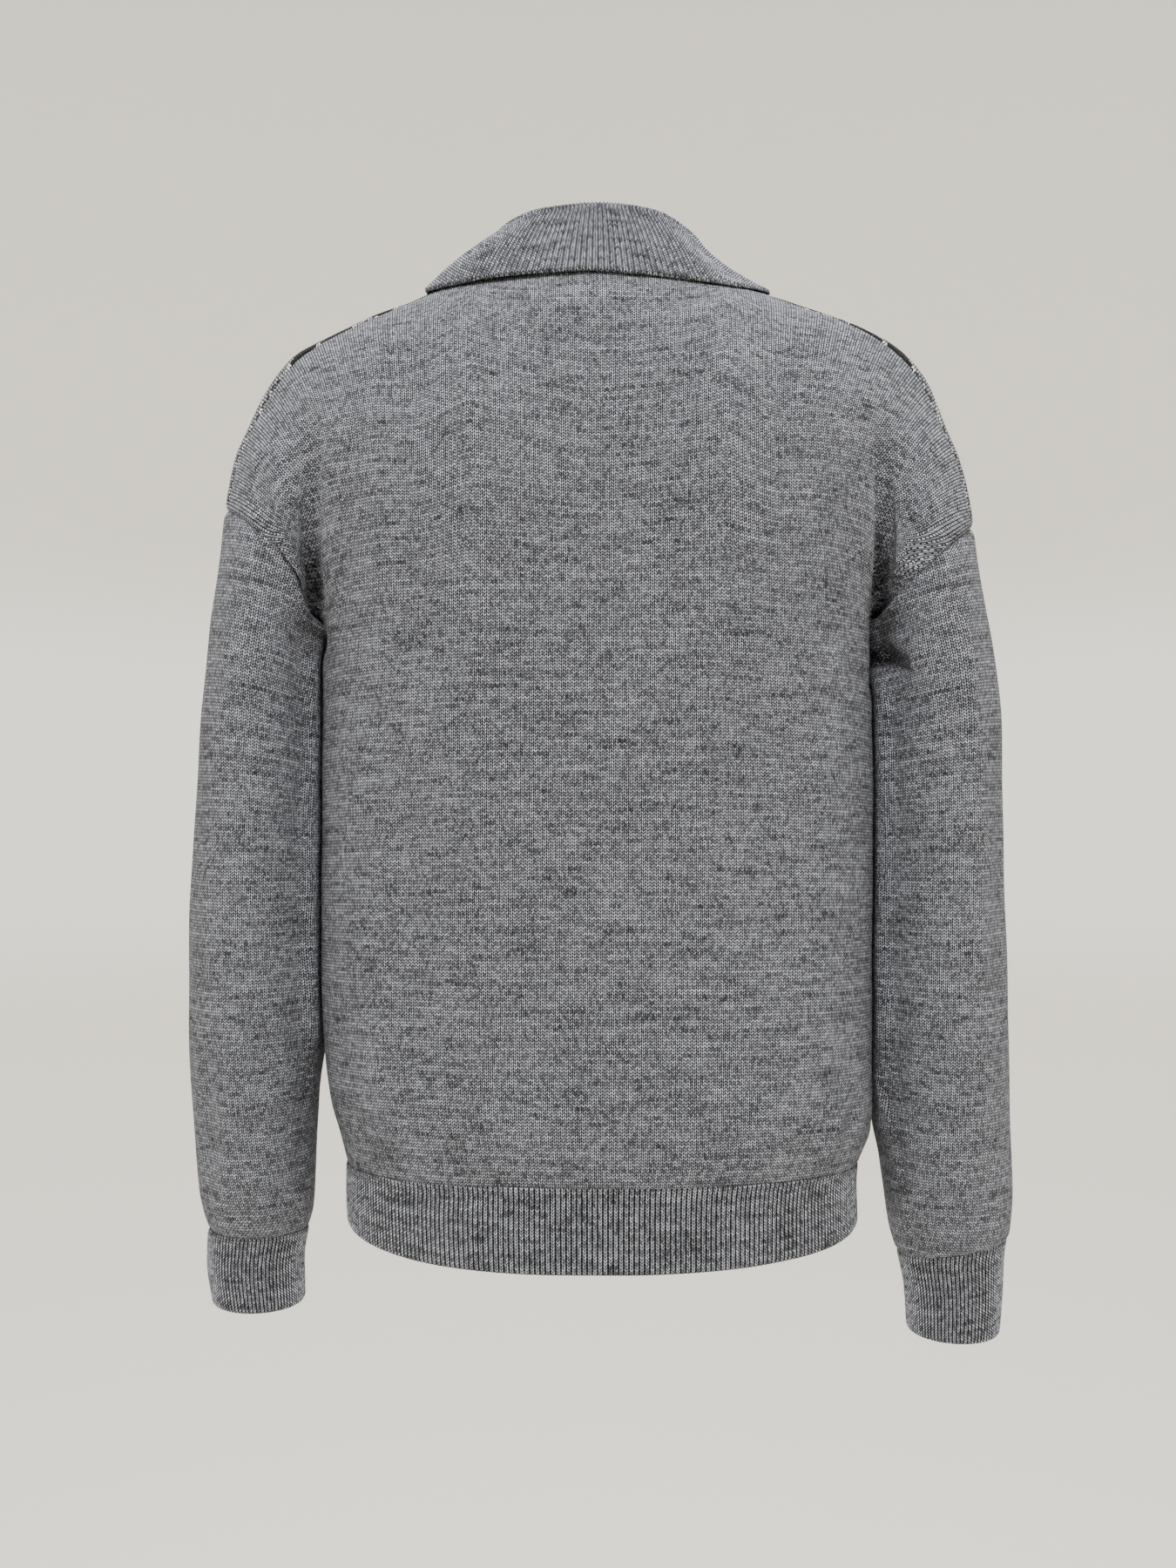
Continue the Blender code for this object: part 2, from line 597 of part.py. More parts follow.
def build_buttons():
    for number, drop in enumerate(BUTTON_DROPS, 1):
        z = float(neck_height(np.array(0.0), FRONT)) - drop
        depth, higher = surface_depth(np.zeros(2), np.array([z, z + 0.001]), FRONT)
        tilt = math.atan2(depth - higher, 0.001)
        normal = np.array([0, -math.cos(tilt), math.sin(tilt)])
        centre = np.array([0, -depth - PLACKET_PROUD, z]) + normal * (LAY_GAP + BUTTON_THICK / 2)
        bpy.ops.mesh.primitive_cylinder_add(
            vertices=32,
            radius=BUTTON_RADIUS,
            depth=BUTTON_THICK,
            location=centre,
            rotation=(math.pi / 2 - tilt, 0, 0),
        )
        button = bpy.context.active_object
        button.name = f"button_{number}"
        button.data.name = button.name
        button.data.materials.append(fabric(button.name, BUTTON_GREY))
        for holder in list(button.users_collection):
            holder.objects.unlink(button)
        garment.objects.link(button)
        edge = button.modifiers.new("edge", "BEVEL")
        edge.width = 0.0006
        edge.segments = 2
        edge.limit_method = "ANGLE"


for thing in list(bpy.data.objects):
    bpy.data.objects.remove(thing, do_unlink=True)
garment = bpy.data.collections.new("polo_sweater")
bpy.context.scene.collection.children.link(garment)

build_panels()
build_hem()
build_sleeves()
build_collar()
build_placket()
build_buttons()
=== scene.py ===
"""The looks of a knitted polo sweater in its worn form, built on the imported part."""

import math
from collections import namedtuple
from functools import partialmethod

import bpy
import numpy as np
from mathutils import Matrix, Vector
from mathutils.kdtree import KDTree


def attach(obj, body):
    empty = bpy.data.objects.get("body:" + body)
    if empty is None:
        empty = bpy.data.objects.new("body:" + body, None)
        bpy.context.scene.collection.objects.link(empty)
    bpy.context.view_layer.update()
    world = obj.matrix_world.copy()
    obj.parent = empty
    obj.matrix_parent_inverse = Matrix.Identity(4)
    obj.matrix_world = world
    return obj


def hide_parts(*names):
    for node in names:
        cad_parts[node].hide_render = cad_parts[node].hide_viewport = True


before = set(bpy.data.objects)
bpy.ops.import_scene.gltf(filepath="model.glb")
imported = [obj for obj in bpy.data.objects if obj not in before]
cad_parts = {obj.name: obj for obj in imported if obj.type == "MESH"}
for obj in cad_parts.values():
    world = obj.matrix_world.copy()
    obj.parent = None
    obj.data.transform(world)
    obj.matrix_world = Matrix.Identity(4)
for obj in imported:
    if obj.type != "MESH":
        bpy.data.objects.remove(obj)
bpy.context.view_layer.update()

# ---- driving sizes ----

MM = 0.001
WALL = 0.0016  # stockinette of the body and sleeves
RIB_WALL = 0.0020  # rib of the hem, cuffs and collar
SEAM_GAP = 0.0005  # between the edges of two pieces that are sewn together
LAY_GAP = 0.0003  # between a piece and what lies on it
SLEEVE_CLEAR = 0.0006  # between a sleeve and the body that it leans on

NECK_X = 0.075  # the high point of the shoulder, where collar, back and front meet
NECK_Z = -0.0065
NECK_DROP_BACK = 0.0115
NECK_DROP_FRONT = 0.0685

FOLD_TOP_Z = -0.100  # where the fold above the armpit starts
COLUMN_BOW = 3.0  # a panel's columns keep to the body's side for long before they lean outwards
SHOULDER_WRAP = 0.122  # how far the front reaches over the ridge, as a share of a column's half turn
NECK_TURN = 0.7  # the part of a half turn that a column under the neckline climbs
NECK_SHARE = math.asin(NECK_X / 0.176) / (math.pi / 2)
HEM_TOP = (-0.576, -0.570)  # the height of the hem rib's top at the side and in the middle
HEM_END = (-0.612, -0.621)

PLACKET_HALF_WIDTH = 0.0140
PLACKET_PROUD = 0.0008  # the outer band stands this far out of the panel
BUTTON_THICK = 0.0022
BUTTON_DROPS = (0.016, 0.073, 0.130)  # from the front of the neck down to each button

BACK = 1
FRONT = -1


# ---- the form, as tables in mm read by height ----


def in_metres(kind, rows, plain=0):
    """The rows of a table in metres. Their first `plain` values aren't lengths."""
    return [kind(*row[:plain], *(length * MM for length in row[plain:])) for row in rows]


# The outline over both shoulders, down to the underarm, and the exponents of its level sections: a
# higher `square` gives fuller corners, and a higher `rounding` a blunter end.
Outline = namedtuple("Outline", "z left right")
Corners = namedtuple("Corners", "z square rounding")
OUTLINE_ROWS = (
    (-6.5, 75, 75, 1.60, 1.25),
    (-16, 93, 89, 1.60, 1.25),
    (-23.5, 111, 108, 1.60, 1.25),
    (-32, 131, 135, 1.62, 1.25),
    (-38.5, 150, 153, 1.64, 1.27),
    (-46.5, 166.5, 174, 1.66, 1.30),
    (-55, 183.5, 190.5, 1.70, 1.33),
    (-62, 195.5, 199, 1.74, 1.36),
    (-75, 206.5, 210, 1.80, 1.42),
    (-90, 215.6, 217.8, 1.86, 1.48),
    (-110, 224.8, 225.3, 1.92, 1.54),
    (-130, 232.5, 232.3, 1.98, 1.60),
    (-161, 237, 238, 2.08, 1.72),
    (-200, 240.8, 242.2, 2.20, 1.86),
    (-240, 246.3, 249, 2.30, 2.00),
)
OUTLINE = in_metres(Outline, [row[:3] for row in OUTLINE_ROWS])
CORNERS = [Corners(row[0] * MM, *row[3:]) for row in OUTLINE_ROWS]

# How far the body stands behind and before the plane of its side seams.
Depth = namedtuple("Depth", "z back front")
DEPTH_ROWS = (
    (-6.5, 48, 30),
    (-18, 68, 39),
    (-36, 94, 52),
    (-70, 108, 72),
    (-120, 117, 96),
    (-180, 121, 110),
    (-240, 121, 116),
    (-310, 120, 114),
    (-400, 117.5, 110),
    (-500, 116.5, 106.5),
    (-545, 118, 107.5),
    (-562, 117, 106.5),
    (-574, 115.5, 105),
    (-590, 115, 104),
    (-622, 114, 103),
)
DEPTH = in_metres(Depth, DEPTH_ROWS)

# The side seams, from the underarm to the end of the hem.
SideSeam = namedtuple("SideSeam", "z left right")
SIDE_ROWS = (
    (-231, 176.3, 175.8),
    (-260, 175.7, 175.1),
    (-310, 175.8, 175),
    (-450, 175.5, 175.5),
    (-504, 174.2, 175.6),
    (-535, 170.6, 175.7),
    (-555, 165, 174.2),
    (-566, 162.2, 170),
    (-576, 160.2, 166.2),
    (-590, 160.6, 165.2),
    (-622, 159, 165.5),
)
SIDE_SEAM = in_metres(SideSeam, SIDE_ROWS)
BODY_SQUARE = 2.6
BODY_ROUNDING = 2.0

# Each sleeve's level sections: how far its outer and inner edges stand from the middle of the garment,
# and half its depth.
Sleeve = namedtuple("Sleeve", "z outer inner depth")
SLEEVE_LEFT = (
    (-240, 246.3, 176.3, 63),
    (-262, 248.6, 178.7, 63.5),
    (-300, 252.6, 179, 63),
    (-358, 256.6, 179, 62),
    (-420, 260.5, 179, 60),
    (-480, 260.2, 178.8, 57),
    (-526, 258.5, 178.6, 54),
    (-565, 256, 179.7, 51),
    (-594, 254.4, 181.2, 47),
    (-608, 252, 182.4, 43),
    (-619, 249.2, 185, 38),
    (-640, 249.8, 188.5, 36),
    (-667, 246, 188, 35),
)
SLEEVE_RIGHT = (
    (-231, 247.5, 175.8, 63),
    (-253, 251.5, 178.3, 63.5),
    (-291, 256, 178.8, 63),
    (-340, 258, 178.9, 62),
    (-400, 259.8, 178.9, 60),
    (-470, 262, 178.9, 57),
    (-526, 262.7, 178.8, 54),
    (-565, 263.5, 180, 51),
    (-600, 264.6, 184.8, 47),
    (-620, 263.4, 188.2, 43),
    (-633, 260.4, 191.8, 38.5),
    (-660, 259.2, 197.5, 36),
    (-686, 257.2, 199.2, 35),
)

# The collar, from the middle of the back (turn 0) to its front end (turn 1): its fold, its outer edge
# as seen from above, the edge's height over the panel, how far each leaf bows outwards, and how much
# lower its fold and its edge sit on the right.
Collar = namedtuple(
    "Collar", "turn fold_x fold_y fold_z edge_x edge_y lift bow_left bow_right slump_right droop_right"
)
COLLAR_ROWS = (
    (0.00, 0, 66, 15.8, 0, 95.5, 6, 2, 2, 0, 0.4),
    (0.16, 31.8, 58, 15.8, 52, 81.5, 6.2, 2.2, 1.8, 1, 2.4),
    (0.32, 56, 35.5, 12.6, 90.5, 49, 3.6, 4, -2.4, 4, 0.8),
    (0.48, 66, 4.5, 8.5, 110.5, 6.5, 3.6, 3, -0.6, 3.4, 0.2),
    (0.62, 62, -30, -4, 105, -40, 5, 2.4, -0.2, 3, 0),
    (0.76, 46, -60, -24, 93, -65, 6.2, 2, 0.8, 0, 0),
    (0.90, 21, -78.5, -45, 73, -83, 8, 1.5, 1, 0, 0),
    (1.00, 3, -83, -57, 54, -91, 9, 1, 1, 0, 0),
)
COLLAR = in_metres(Collar, COLLAR_ROWS, plain=1)
COLLAR_FOLD_RADIUS = 0.0034
COLLAR_HALF_OPENING = 0.0025  # between the collar's two ends and the middle


# ---- reading the tables ----


def column(rows, name):
    """A smooth curve with no overshoot through one column of a table, read by its first column."""
    known = sorted((row[0], getattr(row, name)) for row in rows)
    at, value = np.array(known).T
    step = np.diff(at)
    slope = np.diff(value) / step
    together = slope[:-1] * slope[1:] > 0
    total = np.where(together, slope[:-1] + slope[1:], 1.0)
    between = np.where(together, 2 * slope[:-1] * slope[1:] / total, 0.0)
    lean = np.concatenate([slope[:1], between, slope[-1:]])

    def read(where):
        where = np.clip(where, at[0], at[-1])
        i = np.clip(np.searchsorted(at, where) - 1, 0, len(step) - 1)
        t = (where - at[i]) / step[i]
        start = (1 + 2 * t) * (1 - t) ** 2 * value[i] + t * (1 - t) ** 2 * step[i] * lean[i]
        end = t * t * (3 - 2 * t) * value[i + 1] - t * t * (1 - t) * step[i] * lean[i + 1]
        return start + end

    return read


outline_left = column(OUTLINE, "left")
outline_right = column(OUTLINE, "right")
outline_square = column(CORNERS, "square")
outline_rounding = column(CORNERS, "rounding")
depth_back = column(DEPTH, "back")
depth_front = column(DEPTH, "front")
seam_left = column(SIDE_SEAM, "left")
seam_right = column(SIDE_SEAM, "right")

# Where each armhole seam and cuff lies. `bow` bends the armhole seam down towards the body, and the
# last four values give the shoulder's outline and the sleeve's edges and depth at a height.
Side = namedtuple("Side", "name sign under_z shoulder_z bow wrist end_z outline outer inner depth")


def sleeve_columns(rows):
    table = in_metres(Sleeve, rows)
    return [column(table, name) for name in ("outer", "inner", "depth")]


LEFT_SLEEVE = sleeve_columns(SLEEVE_LEFT)
RIGHT_SLEEVE = sleeve_columns(SLEEVE_RIGHT)
LEFT = Side("left", 1, -0.240, -0.161, 2.3, (-0.6190, -0.6200), -0.6665, outline_left, *LEFT_SLEEVE)
RIGHT = Side("right", -1, -0.231, -0.172, 1.3, (-0.6240, -0.6350), -0.6855, outline_right, *RIGHT_SLEEVE)


def smoothstep(t):
    t = np.clip(t, 0.0, 1.0)
    return t * t * (3 - 2 * t)


def by_side(x, left, right):
    return np.where(x >= 0, left, right)


# ---- the surface that every piece lies on ----


def oval(depth, reach, square, rounding):
    """The depth of a level section at a share of its half width."""
    return depth * (1 - np.clip(np.abs(reach), 0, 1) ** square) ** (1 / rounding)


def side_half_width(x, z):
    return by_side(x, seam_left(z), seam_right(z))


def sleeve_depth(side, x, z):
    """Half the depth of a hanging sleeve at the distance x from the middle of the garment."""
    outer = np.where(z > side.under_z, side.outline(z), side.outer(z))
    inner = side.inner(z)
    reach = (2 * x - outer - inner) / (outer - inner)
    return oval(side.depth(z), reach, 2.0, 2.0)


def surface_depth(x, z, face):
    """How far the body stands behind or before the plane of the side seams.

    Above the underarm, one section takes in the body and both upper sleeves. Towards the underarm it
    parts into an oval for the body and one for each sleeve, with a fold between them.
    """
    away = np.abs(x)
    depth = depth_back(z) if face == BACK else depth_front(z)
    half = side_half_width(x, z)
    reach = away / by_side(x, outline_left(z), outline_right(z))
    whole = oval(depth, reach, outline_square(z), outline_rounding(z))
    body = np.where(away < half, oval(depth, away / half, BODY_SQUARE, BODY_ROUNDING), 0.0)
    hanging = by_side(x, sleeve_depth(LEFT, away, z), sleeve_depth(RIGHT, away, z))
    sleeve = np.where(away >= half, hanging, 0.0)
    under_z = by_side(x, LEFT.under_z, RIGHT.under_z)
    rise = np.clip((z - under_z) / (FOLD_TOP_Z - under_z), 0, 1)
    joined = rise ** (0.5 + 1.2 * smoothstep(np.abs(away - half) / 0.035))
    return joined * whole + (1 - joined) * np.maximum(body, sleeve)


def depth_where(behind, x, z):
    """The depth of the back where `behind` is true, and of the front elsewhere."""
    return np.where(behind, surface_depth(x, z, BACK), surface_depth(x, z, FRONT))


def on_surface(x, z, face):
    return np.stack([x, face * surface_depth(x, z, face), z], axis=-1)


def surface_height(x, y):
    """The height of the surface under a point seen from above, near the neck and shoulders."""
    low = np.full(np.shape(x), -0.300)
    high = np.full(np.shape(x), NECK_Z)
    for _ in range(40):
        middle = (low + high) / 2
        outside = by_side(x, outline_left(middle), outline_right(middle)) < np.abs(x)
        too_high = (depth_where(y > 0, x, middle) < np.abs(y)) | outside
        high = np.where(too_high, middle, high)
        low = np.where(too_high, low, middle)
    return (low + high) / 2


def neck_height(x, face):
    share = np.clip(np.abs(x) / NECK_X, 0, 1)
    if face == BACK:
        return NECK_Z - NECK_DROP_BACK * np.sqrt(1 - share**2)
    return NECK_Z - NECK_DROP_FRONT * (1 - share**2.2) ** 0.6


def ridge_point(side, share):
    """A point of the shoulder's outline, at a share of its length from the neck to the armhole."""
    z = NECK_Z + (side.shoulder_z - NECK_Z) * np.linspace(0, 1, 400) ** 2
    x = side.outline(z)
    length = np.concatenate([[0], np.cumsum(np.hypot(np.diff(x), np.diff(z)))])
    return np.interp(share * length[-1], length, x), np.interp(share * length[-1], length, z)


def under_row(across):
    """The level row between the two underarms, as (x, z)."""
    lean = np.sin(across * math.pi / 2)
    z = (LEFT.under_z + RIGHT.under_z) / 2 + (LEFT.under_z - RIGHT.under_z) / 2 * lean
    return side_half_width(across, z) * lean, z


def top_row(across, face):
    """The neckline and the shoulder ridges, as (x, z)."""
    share = np.clip((np.abs(across) - NECK_SHARE) / (1 - NECK_SHARE), 0, 1)
    x_left, z_left = ridge_point(LEFT, share)
    x_right, z_right = ridge_point(RIGHT, share)
    in_neck = np.abs(across) < NECK_SHARE
    x_neck = np.clip(under_row(across)[0], -NECK_X, NECK_X)
    x = np.where(in_neck, x_neck, by_side(across, x_left, -x_right))
    z = np.where(in_neck, neck_height(x_neck, face), by_side(across, z_left, z_right))
    return x, z


def half_turn(turn):
    """A share that leaves 0 and reaches 1 slowly, then comes back: a column's climb over the ridge."""
    return (1 - np.cos(math.pi * turn)) / 2


def shoulder_wrap(across):
    """How far past the ridge the front reaches, and how far short of it the back stops."""
    grown = 0.4 + 0.6 * smoothstep((np.abs(across) - NECK_SHARE) / 0.15)
    return np.where(np.abs(across) < NECK_SHARE - 1e-9, 0.0, SHOULDER_WRAP * grown)


def yoke_points(across, up, face):
    """Points above the underarm. `up` goes from 0 at the underarm to 1 at the neck or shoulder seam.

    The shoulder seam lies a little behind the ridge, so the front's columns pass over it.
    """
    x_low, z_low = under_row(across)
    x_high, z_high = top_row(across, face)
    turn = up * (1 - face * shoulder_wrap(across))
    in_neck = np.abs(across) < NECK_SHARE - 1e-9
    beside = 0.8 * smoothstep(np.abs(across) / NECK_SHARE)
    neck_climb = (1 - beside) * half_turn(NECK_TURN * up) / half_turn(NECK_TURN) + beside * half_turn(up)
    climb = np.where(in_neck, neck_climb, half_turn(turn))
    side_bow = by_side(across, LEFT.bow, RIGHT.bow)
    bow = side_bow + (COLUMN_BOW - side_bow) * smoothstep((1 - np.abs(across)) / 0.03)
    x = x_low + (x_high - x_low) * climb**bow
    z = z_low + (z_high - z_low) * climb
    over = (turn > 1) & ~in_neck
    depth = np.where(over, -surface_depth(x, z, BACK), surface_depth(x, z, face))
    return np.stack([x, face * depth, z], axis=-1)


def hem_height(across, heights):
    side_z, middle_z = heights
    return side_z + (middle_z - side_z) * np.cos(across * math.pi / 2)


def body_points(across, low_z, high_z, up, face):
    """Points of the body's tube between two rows, with `up` from 0 at the lower one to 1."""
    z = low_z + (high_z - low_z) * up
    return on_surface(side_half_width(across, z) * np.sin(across * math.pi / 2), z, face)


def sleeve_ring(side, t, top, bottom):
    """A ring of the sleeve between two tilted rings, each given as (outer z, inner z)."""
    outer_z = top[0] + (bottom[0] - top[0]) * t
    inner_z = top[1] + (bottom[1] - top[1]) * t
    outer = (side.outline if outer_z > side.under_z else side.outer)(outer_z)
    inner = side.inner(inner_z)
    bow = 1 + (side.bow - 1) * (1 - t) ** 4 if top[0] == side.shoulder_z else 1.0
    turns, faces = armhole_turns()
    faces = np.where(turns > 1, BACK, faces)
    across = half_turn(turns)
    away = inner + (outer - inner) * across**bow
    z = inner_z + (outer_z - inner_z) * across
    x = side.sign * away
    depth = np.where(z > side.under_z, depth_where(faces == BACK, x, z), sleeve_depth(side, away, z))
    return np.stack([x, faces * depth, z], axis=-1)


def neck_seam(turns):
    """The collar's seam line, from the middle of the back (0) to the front (1), on the +X side."""
    x = NECK_X * np.sin(turns * math.pi)
    behind = turns < 0.5
    z = np.where(behind, neck_height(x, BACK), neck_height(x, FRONT))
    return np.stack([x, np.where(behind, 1, -1) * depth_where(behind, x, z), z], axis=-1)


# ---- creases and waves laid on the form ----

# Each soft fold in mm, from one place on the surface to another: its half width, and its height, which
# is below zero for a trough.
Crease = namedtuple("Crease", "face x_from z_from x_to z_to width height")
BACK_CREASES = (
    (BACK, 200, -122, 186, -206, 5.6, 4.8),
    (BACK, 190, -188, 172.5, -246, 4.8, 4.6),
    (BACK, 205, -150, 195, -205, 6, -1.8),
    (BACK, -196, -150, -183, -222, 8, 1.6),
    (BACK, -210, -140, -199, -205, 8, -1.2),
    (BACK, 112, -300, 114, -535, 19, -4.6),
    (BACK, -98, -240, -106, -500, 23, -3.8),
    (BACK, 20, -330, 31, -540, 26, -2.4),
    (BACK, 156, -262, 110, -330, 11, -2.6),
    (BACK, -154, -270, -108, -336, 11, -2.4),
    (BACK, -160, -528, -150, -556, 6, -2.8),
    (BACK, -148, -530, -138, -562, 6, 1.4),
    (BACK, 142, -532, 137, -566, 7, -1.6),
    (BACK, 93, -538, 90, -568, 8, -1.1),
    (BACK, 38, -541, 40, -569, 7, -0.9),
    (BACK, -24, -540, -26, -568, 8, -1),
    (BACK, -83, -536, -80, -568, 9, -1.2),
    (BACK, -122, -540, -118, -567, 6, -1.2),
)
FRONT_CREASES = (
    (FRONT, 188, -140, 176, -232, 8, 2.2),
    (FRONT, -190, -146, -178, -228, 8, 2.2),
    (FRONT, 150, -262, 98, -318, 11, -2),
    (FRONT, 156, -290, 120, -352, 10, -1.5),
    (FRONT, -150, -258, -102, -310, 11, -1.9),
    (FRONT, -155, -286, -124, -338, 10, -1.4),
    (FRONT, 94, -320, 100, -520, 24, -2.2),
    (FRONT, -88, -300, -100, -505, 26, -2.4),
    (FRONT, 12, -345, 4, -530, 26, -1.4),
    (FRONT, 120, -534, 116, -567, 8, -1.4),
    (FRONT, 64, -538, 66, -569, 8, -1.1),
    (FRONT, 6, -541, 4, -569, 7, -1),
    (FRONT, -52, -537, -55, -568, 9, -1.2),
    (FRONT, -112, -535, -108, -567, 8, -1.3),
    (FRONT, -148, -532, -144, -565, 7, -1.6),
)
SLEEVE_CREASES = (
    (BACK, 236, -470, 244, -600, 8.5, -2.6),
    (BACK, 222, -500, 230, -605, 8, 1.4),
    (BACK, 190, -322, 238, -342, 10, -1.4),
    (BACK, 188, -352, 225, -378, 9, -1.2),
    (BACK, 196, -262, 212, -310, 10, -1),
    (BACK, 196, -578, 203, -612, 6, -1.3),
    (BACK, 216, -582, 218, -612, 6, -1.2),
    (FRONT, 190, -318, 244, -336, 10, -3),
    (FRONT, 188, -350, 236, -372, 9.5, -2.6),
    (FRONT, 192, -382, 226, -398, 8, -1.8),
    (FRONT, 206, -570, 212, -612, 7, -1.5),
    (FRONT, 228, -575, 230, -612, 7, -1.3),
    (BACK, -170, -249, -193, -266, 6.2, -9),
    (BACK, -180, -250, -204, -257, 6, 2),
    (BACK, -183, -283, -205, -292, 7, -1.6),
    (BACK, -222, -215, -233, -340, 7, 2.4),
    (BACK, -233, -320, -235, -480, 7, 2.4),
    (BACK, -212, -240, -223, -360, 9, -1.6),
    (BACK, -248, -300, -250, -520, 8, -1.8),
    (BACK, -190, -330, -222, -352, 9.5, -1.2),
    (BACK, -188, -368, -216, -388, 9, -1),
    (BACK, -236, -560, -244, -615, 7, -1.4),
    (BACK, -214, -575, -220, -620, 6, -1.2),
    (FRONT, -190, -312, -246, -330, 10, -2.8),
    (FRONT, -188, -344, -240, -364, 9.5, -2.8),
    (FRONT, -192, -380, -230, -396, 8, -1.6),
    (FRONT, -212, -580, -218, -622, 7, -1.4),
    (FRONT, -238, -575, -242, -618, 7, -1.3),
    # the seam along the underside of each sleeve, pressed in by its stitches
    (BACK, 180.5, -500, 186, -560, 1.8, -1.6),
    (BACK, 185, -550, 190, -622, 1.8, -1.6),
    (BACK, -180, -500, -187, -559, 1.8, -1.8),
    (BACK, -186.5, -552, -193.5, -596, 1.8, -1.8),
    (BACK, -192.5, -588, -199, -634, 1.8, -1.8),
)

# Each place where the back or front hangs over the dropped shoulder, in mm: its edge runs between two
# points, and past it, away from the middle, the cloth lies deep and slowly comes back.
Fold = namedtuple("Fold", "face sign x_from z_from x_to z_to deep recover")
FOLD_ROWS = (
    (BACK, 1, 167, -98, 168, -262, 8.8, 11),
    (BACK, -1, 167, -100, 169, -284, 8.4, 12),
    (FRONT, 1, 164, -118, 167, -262, 4.2, 12),
    (FRONT, -1, 165.5, -106, 167, -258, 4.6, 12),
)
FOLDS = in_metres(Fold, FOLD_ROWS, plain=2)
FOLD_AT = 0.766  # the share across a panel of the column that follows a fold's edge


def fold_edge(fold, z):
    """How far from the middle a fold's edge lies at each height."""
    down = np.clip((z - fold.z_from) / (fold.z_to - fold.z_from), 0, 1)
    return fold.x_from + (fold.x_to - fold.x_from) * down


def folded(points, face):
    """How far the folds above the armpits lower or raise each point of a panel."""
    x, _, z = np.moveaxis(points, -1, 0)
    raised = np.zeros(x.shape)
    for fold in FOLDS:
        if fold.face != face:
            continue
        past = np.abs(x) - fold_edge(fold, z)
        grown = smoothstep((fold.z_from - z) / 0.060) * smoothstep((z - fold.z_to) / 0.030)
        drop = smoothstep((past + 0.0008) / 0.0044) * np.exp(-np.maximum(past - 0.0036, 0) / fold.recover)
        proud = 0.22 * np.exp(-(((past + 0.0060) / 0.0070) ** 2))
        raised += np.where(x * fold.sign > 0, fold.deep * grown * (proud - drop), 0.0)
    return raised


def creased(points, rows):
    """How far creases raise each point of the surface. A crease fades out towards both its ends."""
    flat = points.reshape(-1, 3)
    raised = np.zeros(len(flat))
    along = np.linspace(0, 1, 40)
    for crease in in_metres(Crease, rows, plain=1):
        x = crease.x_from + (crease.x_to - crease.x_from) * along
        z = crease.z_from + (crease.z_to - crease.z_from) * along
        line = on_surface(x, z, crease.face)
        near = np.all(np.abs(flat - line.mean(axis=0)) < np.ptp(line, axis=0) / 2 + 0.06, axis=1)
        if not near.any():
            continue
        away = np.linalg.norm(flat[near][:, None, :] - line[None], axis=-1)
        nearest = away.argmin(axis=1)
        step = np.linalg.norm(line[1] - line[0])
        apart = np.sqrt(np.maximum(away.min(axis=1) ** 2 - (step / 3) ** 2, 0))
        ends = smoothstep(np.minimum(along, 1 - along)[nearest] / 0.3)
        raised[near] += crease.height * ends * np.exp(-((apart / crease.width) ** 2))
    return raised.reshape(points.shape[:-1])


def waved(points, height=0.0007):
    """A slow unevenness that all the cloth shares, so that pieces still meet at their seams."""
    x, y, z = np.moveaxis(points, -1, 0)
    broad = np.sin(38 * x + 9 * y + 1.3) * np.sin(21 * z - 14 * x + 0.4)
    short = np.sin(71 * x - 26 * z + 2.1) * np.sin(63 * z + 33 * x + 11 * y)
    return height * (broad + 0.5 * short)


# ---- from rows of points to a closed thin shell ----


def unit(vectors):
    return vectors / np.linalg.norm(vectors, axis=-1, keepdims=True)


def evened(values, closed=False):
    """Values averaged with their neighbours along the rows."""
    if closed:
        return (np.roll(values, 1, axis=1) + 2 * values + np.roll(values, -1, axis=1)) / 4
    ring = np.concatenate([values[:, :1], values, values[:, -1:]], axis=1)
    return (ring[:, :-2] + 2 * values + ring[:, 2:]) / 4


def smoothed(values, closed, passes):
    """Values averaged with all their neighbours, a number of times."""
    for _ in range(passes):
        along = evened(values, closed)
        values = np.swapaxes(evened(np.swapaxes(along, 0, 1)), 0, 1)
    return values


def outward_normals(points, towards, closed=False, passes=0):
    """Each point's normal from its neighbours, on the side of `towards`, smoothed a number of times."""
    if closed:
        ring = np.concatenate([points[:, -1:], points, points[:, :1]], axis=1)
        along = (ring[:, 2:] - ring[:, :-2]) / 2
    else:
        along = np.gradient(points, axis=1)
    normals = np.cross(along, np.gradient(points, axis=0))
    normals = normals / np.maximum(np.linalg.norm(normals, axis=-1, keepdims=True), 1e-12)
    if np.sum(normals * towards) < 0:
        normals = -normals
    return unit(smoothed(normals, closed, passes)) if passes else normals


def from_middle(rings):
    return rings - rings.mean(axis=1, keepdims=True)


def lengths_along(points, axis):
    """The length walked along one axis of the grid, from its start."""
    steps = np.linalg.norm(np.diff(points, axis=axis), axis=-1)
    start = np.zeros_like(np.take(steps, [0], axis=axis))
    return np.concatenate([start, np.cumsum(steps, axis=axis)], axis=axis)


def edge_distance(points, *edges):
    """Each point's distance from the nearest of the named edges."""
    across = lengths_along(points, 1)
    down = lengths_along(points, 0)
    away = {"start": down, "end": down[-1:] - down, "left": across, "right": across[:, -1:] - across}
    return np.minimum.reduce([away[edge] for edge in edges])


def rolled(distance, deep=0.0009, wide=0.0017):
    """How far cloth dips beside a seam or turns in at its edge."""
    return -deep * np.exp(-((distance / wide) ** 2))


def placed(name, data):
    """A new object in the scene."""
    thing = bpy.data.objects.new(name, data)
    bpy.context.scene.collection.objects.link(thing)
    return thing


def dressed(thing, material, node):
    """Gives a piece its material, hangs it under the root body and hides the imported part that it stands
    for.
    """
    thing.data.materials.append(material)
    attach(thing, "root")
    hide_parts(node)
    return thing


